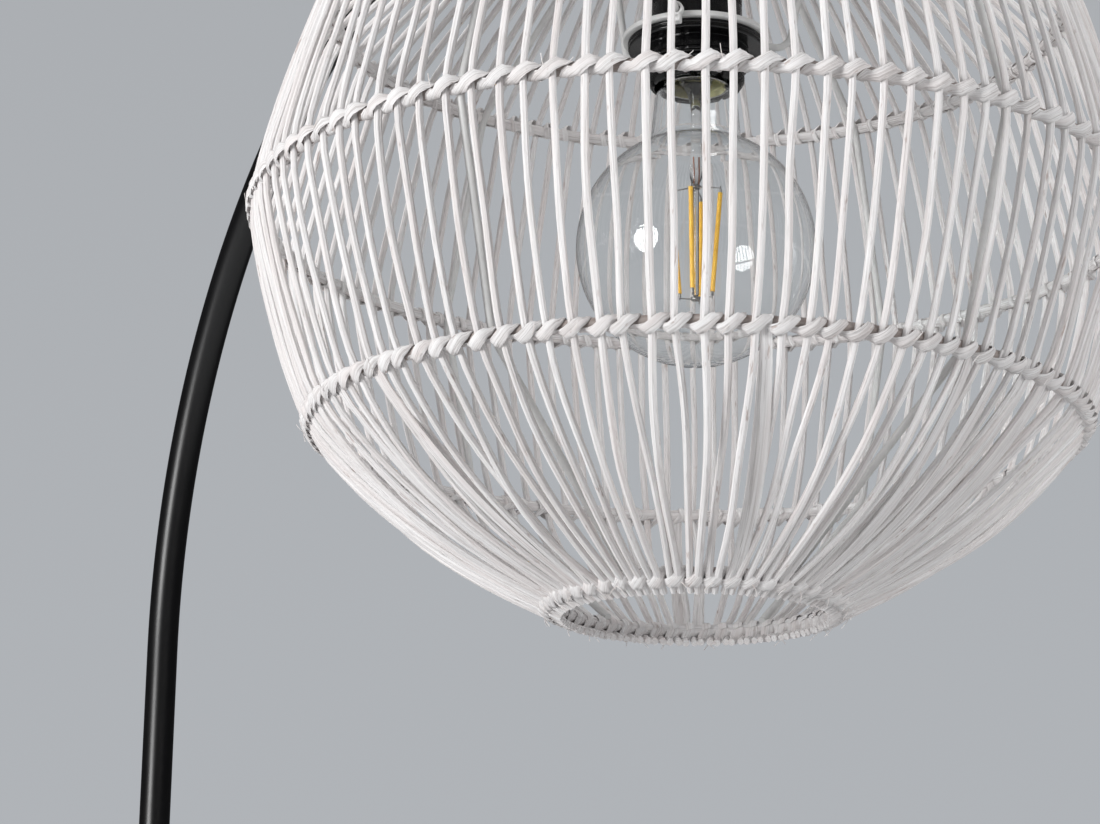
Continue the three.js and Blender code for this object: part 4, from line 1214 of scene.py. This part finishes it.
def bound(turn_mesh, count, phase, follows_stakes):
    """One turn for each stake or pair, none of them quite like the next."""
    sizes = {
        "Count": count, "Pitch": 2 * math.pi / count, "Spacing": uneven_spacing * follows_stakes,
        "Seed": stake_sizes["Seed"], "Uneven": 0.05,
    }
    tree, start, feeds, ids = new_tree("turns of peel", sizes)
    turns = round_the_axis(start, feeds, feeds["Geometry"], phase)
    number = stored(start, "stake", "INT")
    shift = own_share(number, feeds["Seed"], -1.0, 1.0) * feeds["Spacing"]
    spaced = shifted(start, turns, shift)
    place = start.node("GeometryNodeInputPosition")
    spot = start.node("ShaderNodeVectorMath", {0: place, "Scale": 110.0}, operation="SCALE")
    uneven = wavered(start, spaced, spot, feeds["Uneven"] * 0.02)
    own_part = start.node("ShaderNodeCombineXYZ", {"X": number * 0.113})
    sockets = {0: stored(start, "grain", "FLOAT_VECTOR"), 1: own_part}
    own_grain = start.node("ShaderNodeVectorMath", sockets, operation="ADD")
    grained = kept(start, uneven, "grain", own_grain, "FLOAT_VECTOR")
    return grown(turn_mesh, tree, grained, ids, sizes, washed_peel)


def second_finish(mesh, finish, polygons):
    """Gives some of a mesh's faces another finish."""
    mesh.materials.append(finish)
    for polygon in polygons:
        polygon.material_index = 1


for k, name in enumerate(ring_names):
    ring_middle, along, outward = ring_frames[k]
    lining = on_shade(lined(ring_middle, outward))
    fitted(name + "_lining", lining, bare_peel_and_shade, "arm", "white_rattan")
    # The inner half of each lining takes the washed finish. Its outer half keeps the dark one, which is bare
    # rattan and also painted shade between the turns.
    pale_faces = [p for p in lining.polygons if pale_from <= p.index % wire_sides <= pale_to]
    second_finish(lining, washed_peel, pale_faces)
    paired = k in (0, last_ring)
    count = stake_count // 2 if paired else stake_count
    phase = first_pair if paired else first_pair - stake_pitch / 2
    pitch = 2 * math.pi * (ring_middle.x + stake_inset * outward.x) / count
    stations = paired_turn if paired else single_turn
    shape = paired_shape if paired else single_shape
    turn_mesh = strip_turn(stations, pitch, *shape, ring_frames[k])
    binding = bound(turn_mesh, count, phase, 0.0 if paired else 1.0)
    fitted(name + "_binding", on_shade(binding), washed_peel, "arm", "white_rattan", crease=60)


# The loose fibres: short hairs of rattan that the peel sheds where it is cut and bent round the
# rings. Each row of the table holds the ring, how far a hair stands outwards, sideways and upwards,
# how many there are and their seed.
fibre_radius = 0.15
fibre_root = 3.9
fibres_shed = (
    (0, 1.6, 3.0, -4.2, 19, 3), (0, 2.2, -3.5, -2.0, 13, 5), (1, 1.0, 2.4, 4.0, 17, 8),
    (1, 1.4, -2.8, -2.6, 11, 12), (2, 0.6, -1.2, 5.0, 16, 17), (2, 0.8, 4.2, 2.2, 13, 21),
    (3, 1.0, 3.0, -3.4, 12, 26),
)
hair_steps = (0, 0.3, 0.6, 0.85, 1)
loose_fibre = finish_of(
    "loose fibre", (0.86, 0.84, 0.83), (0.66, 0.60, 0.57), 300, (0.6, 0.8), 0.00002, 900
)


def shed(ring, outwards, sideways, upwards, count, seed):
    """Hairs alike in their bend, scattered round one ring."""
    ring_middle, along, outward = ring_frames[ring]
    sizes = {
        "Count": count, "Pitch": 2 * math.pi / count, "Scatter": 2.5 / count, "Radius": fibre_radius * mm,
        "Seed": seed,
    }
    hair_points = []
    for share in hair_steps:
        out = outward * (fibre_root + outwards * share)
        spot = ring_middle + out + along * upwards * share * share
        hair_points.append(Vector((spot.x, sideways * share, spot.y)) * mm)
    hair = bpy.data.meshes.new("hair")
    hair.from_pydata(hair_points, [(i, i + 1) for i in range(len(hair_steps) - 1)], [])
    tree, start, feeds, ids = new_tree("fibres shed", sizes)
    curve = start.node("GeometryNodeMeshToCurve", {"Mesh": feeds["Geometry"]})
    curves = round_the_axis(start, feeds, curve, first_pair)
    shift = own_share(stored(start, "stake", "INT"), feeds["Seed"], -1.0, 1.0) * feeds["Scatter"]
    scattered = shifted(start, curves, shift)
    section = start.node("GeometryNodeCurvePrimitiveCircle", {"Resolution": 4, "Radius": feeds["Radius"]})
    sockets = {"Curve": scattered, "Profile Curve": section, "Fill Caps": True}
    skin = start.node("GeometryNodeCurveToMesh", sockets)
    return grown(hair, tree, skin, ids, sizes, loose_fibre)


hairs = gathered([shed(*kind) for kind in fibres_shed])
fitted("loose_fibres", on_shade(hairs), loose_fibre, "arm", "white_rattan")


# The cable tie: a strap of white nylon drawn tight round the carrier's front arm, with its square
# head below. The strap runs through the slot in the head.
tie_bore = 1.95
tie_thickness = 1.1
tie_width = 2.6
tie_place = 32.8
tie_head_width = 4.2
tie_head_depth = 4
tie_head_height = 3.6
slot_inside, slot_outside = 3.0, 4.3
slot_bottom, slot_top = 0.6, 3
slot_half = 1.4

strap = pipe(tie_bore + tie_thickness, tie_bore, -tie_width / 2, tie_width / 2, 48, 0.3)


def layered(outline, layers):
    """A solid through layers, each a depth and the outline's size in it."""
    points = [(depth, size * y, size * z) for depth, size in layers for y, z in outline]
    rows = [range(k, k + len(outline)) for k in range(0, len(points), len(outline))]
    faces = [face for pair in zip(rows, rows[1:]) for face in band(*pair)]
    return mesh_of(points, [*faces, list(rows[0])[::-1], list(rows[-1])])


def oblong(half, bottom, top):
    return [(-half, bottom), (half, bottom), (half, top), (-half, top)]


head_outline = eased(oblong(tie_head_width / 2, -tie_head_depth / 2, tie_head_depth / 2), 0.5)
head_end = tie_bore + tie_head_height
head_layers = ((tie_bore, 0.9), (tie_bore + 0.4, 1), (head_end - 0.4, 1), (head_end, 0.88))
tie_head = layered(head_outline, head_layers)
slot_cutter = layered(oblong(slot_half, slot_bottom, slot_top), ((slot_inside, 1), (slot_outside, 1)))
tie = gathered([strap, pierced(tie_head, slot_cutter)])
tie.transform(
    Matrix.Rotation(math.radians(plate_arm_angles[2]), 4, "Z")
    @ Matrix.Translation((tie_place * mm, 0, (plate_bottom + arm_rod) * mm))
    @ Matrix.Rotation(math.pi / 2, 4, "Y")
)
fitted("nylon_tie", on_shade(tie), white_nylon, "arm", "white_plastic", "cable_tie")


# The bulb's envelope: clear glass blown to a globe with a neck, 1 mm thick, and the glass stem
# fused in its neck that carries the filaments.
globe_height = 1380
in_bulb = hung(globe_height)
globe_radius = 47.5
neck_radius = 16.5
neck_foot = 17.9
neck_fillet = 4
glass_wall = 0.9
cap_rim = 67.5
neck_in_cap = 12

clear_glass, start = new_finish("clear glass")
glass_shader = start.node("ShaderNodeBsdfPrincipled", {
    "Base Color": (0.985, 0.99, 0.988, 1), "Roughness": 0.0, "IOR": 1.52, "Transmission Weight": 1.0,
})
lamp_ray = start.node("ShaderNodeLightPath", {}, "Is Shadow Ray")
let_through = start.node("ShaderNodeBsdfTransparent", {"Color": (0.9, 0.92, 0.92, 1)})
shine_out(start, start.node("ShaderNodeMixShader", {0: lamp_ray, 1: glass_shader, 2: let_through}))


def glass_outline(inset):
    neck = neck_foot - inset
    ball = globe_radius - inset
    fillet = neck_fillet + inset
    meeting = math.sqrt((ball + fillet) ** 2 - (neck + fillet) ** 2)
    turn_angle = math.degrees(math.atan2(meeting, neck + fillet))
    collar = arc(neck + fillet, meeting, fillet, 180 + turn_angle, 180, 14)
    return [
        *arc(0, 0, ball, -90, turn_angle, 64)[:-1],
        *collar,
        (neck_radius - inset, cap_rim - 5),
        (neck_radius - inset - 0.6, cap_rim - 3),
        (neck_radius - inset - 2.2, cap_rim - 1.4),
        (neck_in_cap - inset, cap_rim - 0.4),
        (neck_in_cap - inset, cap_rim + 9),
    ]


outside = glass_outline(0)
inside = glass_outline(glass_wall)
envelope = turned([*outside, *reversed(inside)], 128, False)
fitted("glass_globe", in_bulb(envelope), clear_glass, "bulb", "clear_glass", "bulb_glass", crease=70)

stem_profile = [
    (0, -20), (0.9, -19.8), (1.2, -19.2), (1.2, 26), (1.7, 27.5), (2.5, 29.5), (2.6, 36), (2.2, 39),
    (1.9, 42), (1.9, 56), (2.3, 60), (3.6, 65), (6.4, 69.5), (9, 73), (10, 76), (10, 76.5), (0, 76.5),
]
stem = in_bulb(turned(stem_profile, 48, False))
fitted("glass_stem", stem, clear_glass, "bulb", "clear_glass", "bulb_stem", crease=50)


# The filaments: four strips of light chips under yellow silicone, with metal ends, welded to thin
# wires from the stem.
filament_top = 24
filament_bottom = -20
filament_radius = 0.95
metal_end = 1.6
metal_end_radius = 0.55
end_overlap = 0.1
strip_edge = 0.3
top_spread = 10
bottom_spread = 6.5
filament_angles = (45, 135, 225, 315)
hub_radius = 2
hub_bore = 1.35
hook_radius = 0.28
hook_tip = 0.8

yellow_silicone = finish_of(
    "yellow silicone", (0.86, 0.50, 0.045), (0.74, 0.38, 0.025), 300, (0.35, 0.5), 0.00003, 900
)
thin_wire = finish_of(
    "nickel wire", (0.42, 0.41, 0.40), (0.25, 0.24, 0.235), 300, (0.3, 0.45), 0.00001, 2000, 1.0
)

for i, degrees in enumerate(filament_angles):
    foot = Vector(at_angle((bottom_spread, filament_bottom), degrees))
    top = Vector(at_angle((top_spread, filament_top), degrees))
    heading = (top - foot).normalized()
    first, second, overlap = [heading * (metal_end + more) for more in (0, strip_edge, end_overlap)]
    strip = swept([foot + first, foot + second, top - second, top - first], filament_radius, 16)
    ends = [swept(line, metal_end_radius, 10) for line in ([foot, foot + overlap], [top - overlap, top])]
    body = in_bulb(gathered([strip, *ends]))
    name = f"filament_strip_{i + 1}"
    fitted(name, body, yellow_silicone, "bulb", "filament_coating", f"filament_{i + 1}")
    second_finish(body, thin_wire, body.polygons[len(strip.polygons):])


def spider(name, height, spread, hub_bottom, hub_top, node):
    """A hub on the stem with a hook to the end of each filament."""
    root = (hub_radius - 0.2, (hub_bottom + hub_top) / 2)
    hook = [root, (spread, height), (spread, height + math.copysign(hook_tip, height))]
    parts = [pipe(hub_radius, hub_bore, hub_bottom, hub_top, 24, 0.2)]
    for degrees in filament_angles:
        parts.append(swept([at_angle(point, degrees) for point in hook], hook_radius, 8))
    fitted(name, in_bulb(gathered(parts)), thin_wire, "bulb", "steel", node)


top, bottom = filament_top + 0.4, filament_bottom - 0.4
spider("upper_hooks", top, top_spread, filament_top + 0.9, filament_top + 2.1, "filament_hanger")
spider("lower_hooks", bottom, bottom_spread, filament_bottom - 1.6, bottom, "filament_foot")


# The wires that bring the current down through the stem: two of copper, side by side in its foot,
# where the glass is pinched round them.
lead_spread = 0.8
lead_radius = 0.2
lead_heights = (26.5, 31, 38)
lead_bow = 0.3
copper = finish_of(
    "copper wire", (0.46, 0.21, 0.13), (0.30, 0.13, 0.08), 300, (0.3, 0.45), 0.00001, 2000, 1.0
)
wires = []
for y in (-lead_spread, lead_spread):
    stations = [(bow, y, z) for bow, z in zip((0, lead_bow, 0), lead_heights)]
    wires.append(swept(stations, lead_radius, 8))
fitted("lead_wires", in_bulb(gathered(wires)), copper, "bulb", "brass")


# The bulb's cap: thin nickel-plated brass with a rolled thread, a black glass insulator and the
# contact in its middle.
cap_radius = 12.9
cap_brim = 13.2
cap_collar = 12.3
cap_wall = 0.5
cap_thread_depth = 0.3
cap_thread_start, cap_thread_end = 2.5, 18.5
insulator_radii = (9, 5)
tip_radius = 5

nickel_plate = finish_of(
    "nickel plate", (0.62, 0.61, 0.58), (0.50, 0.49, 0.47), 140, (0.2, 0.36), 0.00002, 900, 1.0
)


def rolled_cap(radius, height, angle):
    if not cap_thread_start < height - cap_rim < cap_thread_end or radius < cap_collar - 0.7:
        return radius, height
    return radius + cap_thread_depth * (thread_swing(height, angle, lamp_pitch) - 1), height


cap_steps = [cap_rim + 1.1 + lamp_thread_step * i for i in range(42)]
cap_side = cap_radius - 0.1
cap_profile = [
    (cap_collar, cap_rim),
    (cap_brim, cap_rim),
    (cap_brim, cap_rim + 0.35),
    (cap_side, cap_rim + 0.8),
    *[(cap_side, z) for z in cap_steps],
    (9.0, cap_rim + 22.7),
    (8.5, cap_rim + 22.2),
    *[(cap_side - cap_wall, z) for z in reversed(cap_steps)],
    (cap_collar, cap_rim + 0.8),
]
bulb_cap = in_bulb(turned(cap_profile, 96, True, rolled_cap))
fitted("rolled_cap", bulb_cap, nickel_plate, "bulb", "nickel", "bulb_cap", crease=60)
cement = finish_of(
    "cap cement", (0.40, 0.36, 0.17), (0.27, 0.23, 0.09), 260, (0.6, 0.8), 0.0002, 700
)


def faces_inward(polygon):
    from_axis = polygon.center - Vector((reach * mm, 0, polygon.center.z))
    return polygon.normal.dot(from_axis.normalized()) < -0.3


second_finish(bulb_cap, cement, [p for p in bulb_cap.polygons if faces_inward(p)])
low, high = [corner.z / mm - globe_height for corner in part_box("bulb_insulator")]
insulator_corners = [(0, low), (insulator_radii[0], low), (insulator_radii[1], high), (0, high)]
insulator = in_bulb(turned(eased(insulator_corners, 0.5, False), 64, False))
fitted("glass_insulator", insulator, black_moulding, "bulb", "black_plastic", "bulb_insulator")
low, high = [corner.z / mm - globe_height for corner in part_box("bulb_contact")]
contact = in_bulb(rod(tip_radius, low, high, 48, 0.5))
fitted("tip_contact", contact, nickel_plate, "bulb", "nickel", "bulb_contact")


# The studio: a pale floor, a grey backdrop under a dark ceiling, a round softbox at the camera's
# left on a level with the bulb, and weak ones at the right, behind and overhead.
backdrop_low = (0.440, 0.459, 0.484)
backdrop_high = (0.408, 0.424, 0.446)
ceiling = (0.035, 0.036, 0.038)
unlit_room = (0.038, 0.039, 0.041)
even_light = (0.325, 0.330, 0.338)
backdrop_from, backdrop_to = 0.08, 0.42
ceiling_from, ceiling_to = 0.45, 0.7
floor_radius = 4
floor_sides = 96

pale_floor = finish_of(
    "pale floor", (0.62, 0.62, 0.62), (0.605, 0.605, 0.608), 3, (0.6, 0.7), 0.00004, 40
)
floor_mesh = bpy.data.meshes.new("floor")
floor_corners = [(x, y, -0.0005) for x, y in arc(0.25, 0, floor_radius, 0, 360, floor_sides)[:-1]]
floor_mesh.from_pydata(floor_corners, [], [list(range(floor_sides))])
floor_mesh.materials.append(pale_floor)
floor = shown("floor", floor_mesh)

world = bpy.data.worlds.new("studio")
bpy.context.scene.world = world
world.use_nodes = True
world.node_tree.nodes.clear()
start = Feed(world.node_tree)
heading = start.node("ShaderNodeTexCoord", {}, "Generated")
rise = start.node("ShaderNodeSeparateXYZ", {"Vector": heading}, "Z")
backdrop = mixed(between(rise, backdrop_from, backdrop_to), backdrop_low, backdrop_high)
overhead = mixed(between(rise, ceiling_from, ceiling_to), backdrop, ceiling)
camera_ray = start.node("ShaderNodeLightPath", {}, "Is Camera Ray")
sees_backdrop = camera_ray.sum("MAXIMUM", camera_ray, camera_ray.other("Is Transmission Ray"))
unseen = mixed(camera_ray.other("Is Glossy Ray"), even_light, unlit_room)
seen = mixed(sees_backdrop, unseen, overhead)
sky = start.node("ShaderNodeBackground", {"Color": seen, "Strength": 1.0})
shine_out(start, sky, "ShaderNodeOutputWorld")


def softbox(name, size, power, place, target):
    box = bpy.data.lights.new(name, "AREA")
    box.shape = "DISK"
    box.size = size
    box.energy = power
    lamp = shown(name, box)
    lamp.location = place
    aim = Vector(target) - Vector(place)
    lamp.rotation_euler = aim.to_track_quat("-Z", "Y").to_euler()
    return lamp


shade_middle = (0.521, 0.0, 1.38)
softbox("key_softbox", 0.9, 38.5, (0.85, -2.07, 1.28), shade_middle)
fill_lights = [
    softbox("rim_softbox", 0.8, 18, (2.4, 0.9, 1.5), shade_middle),
    softbox("back_softbox", 1.6, 18, (-1.7, 1.9, 1.5), shade_middle),
    softbox("top_softbox", 3.0, 22, (0.5, 0.0, 3.4), shade_middle),
]
for fill_light in fill_lights:
    fill_light.visible_glossy = False
    fill_light.visible_transmission = False

bpy.context.scene.view_settings.view_transform = "Standard"
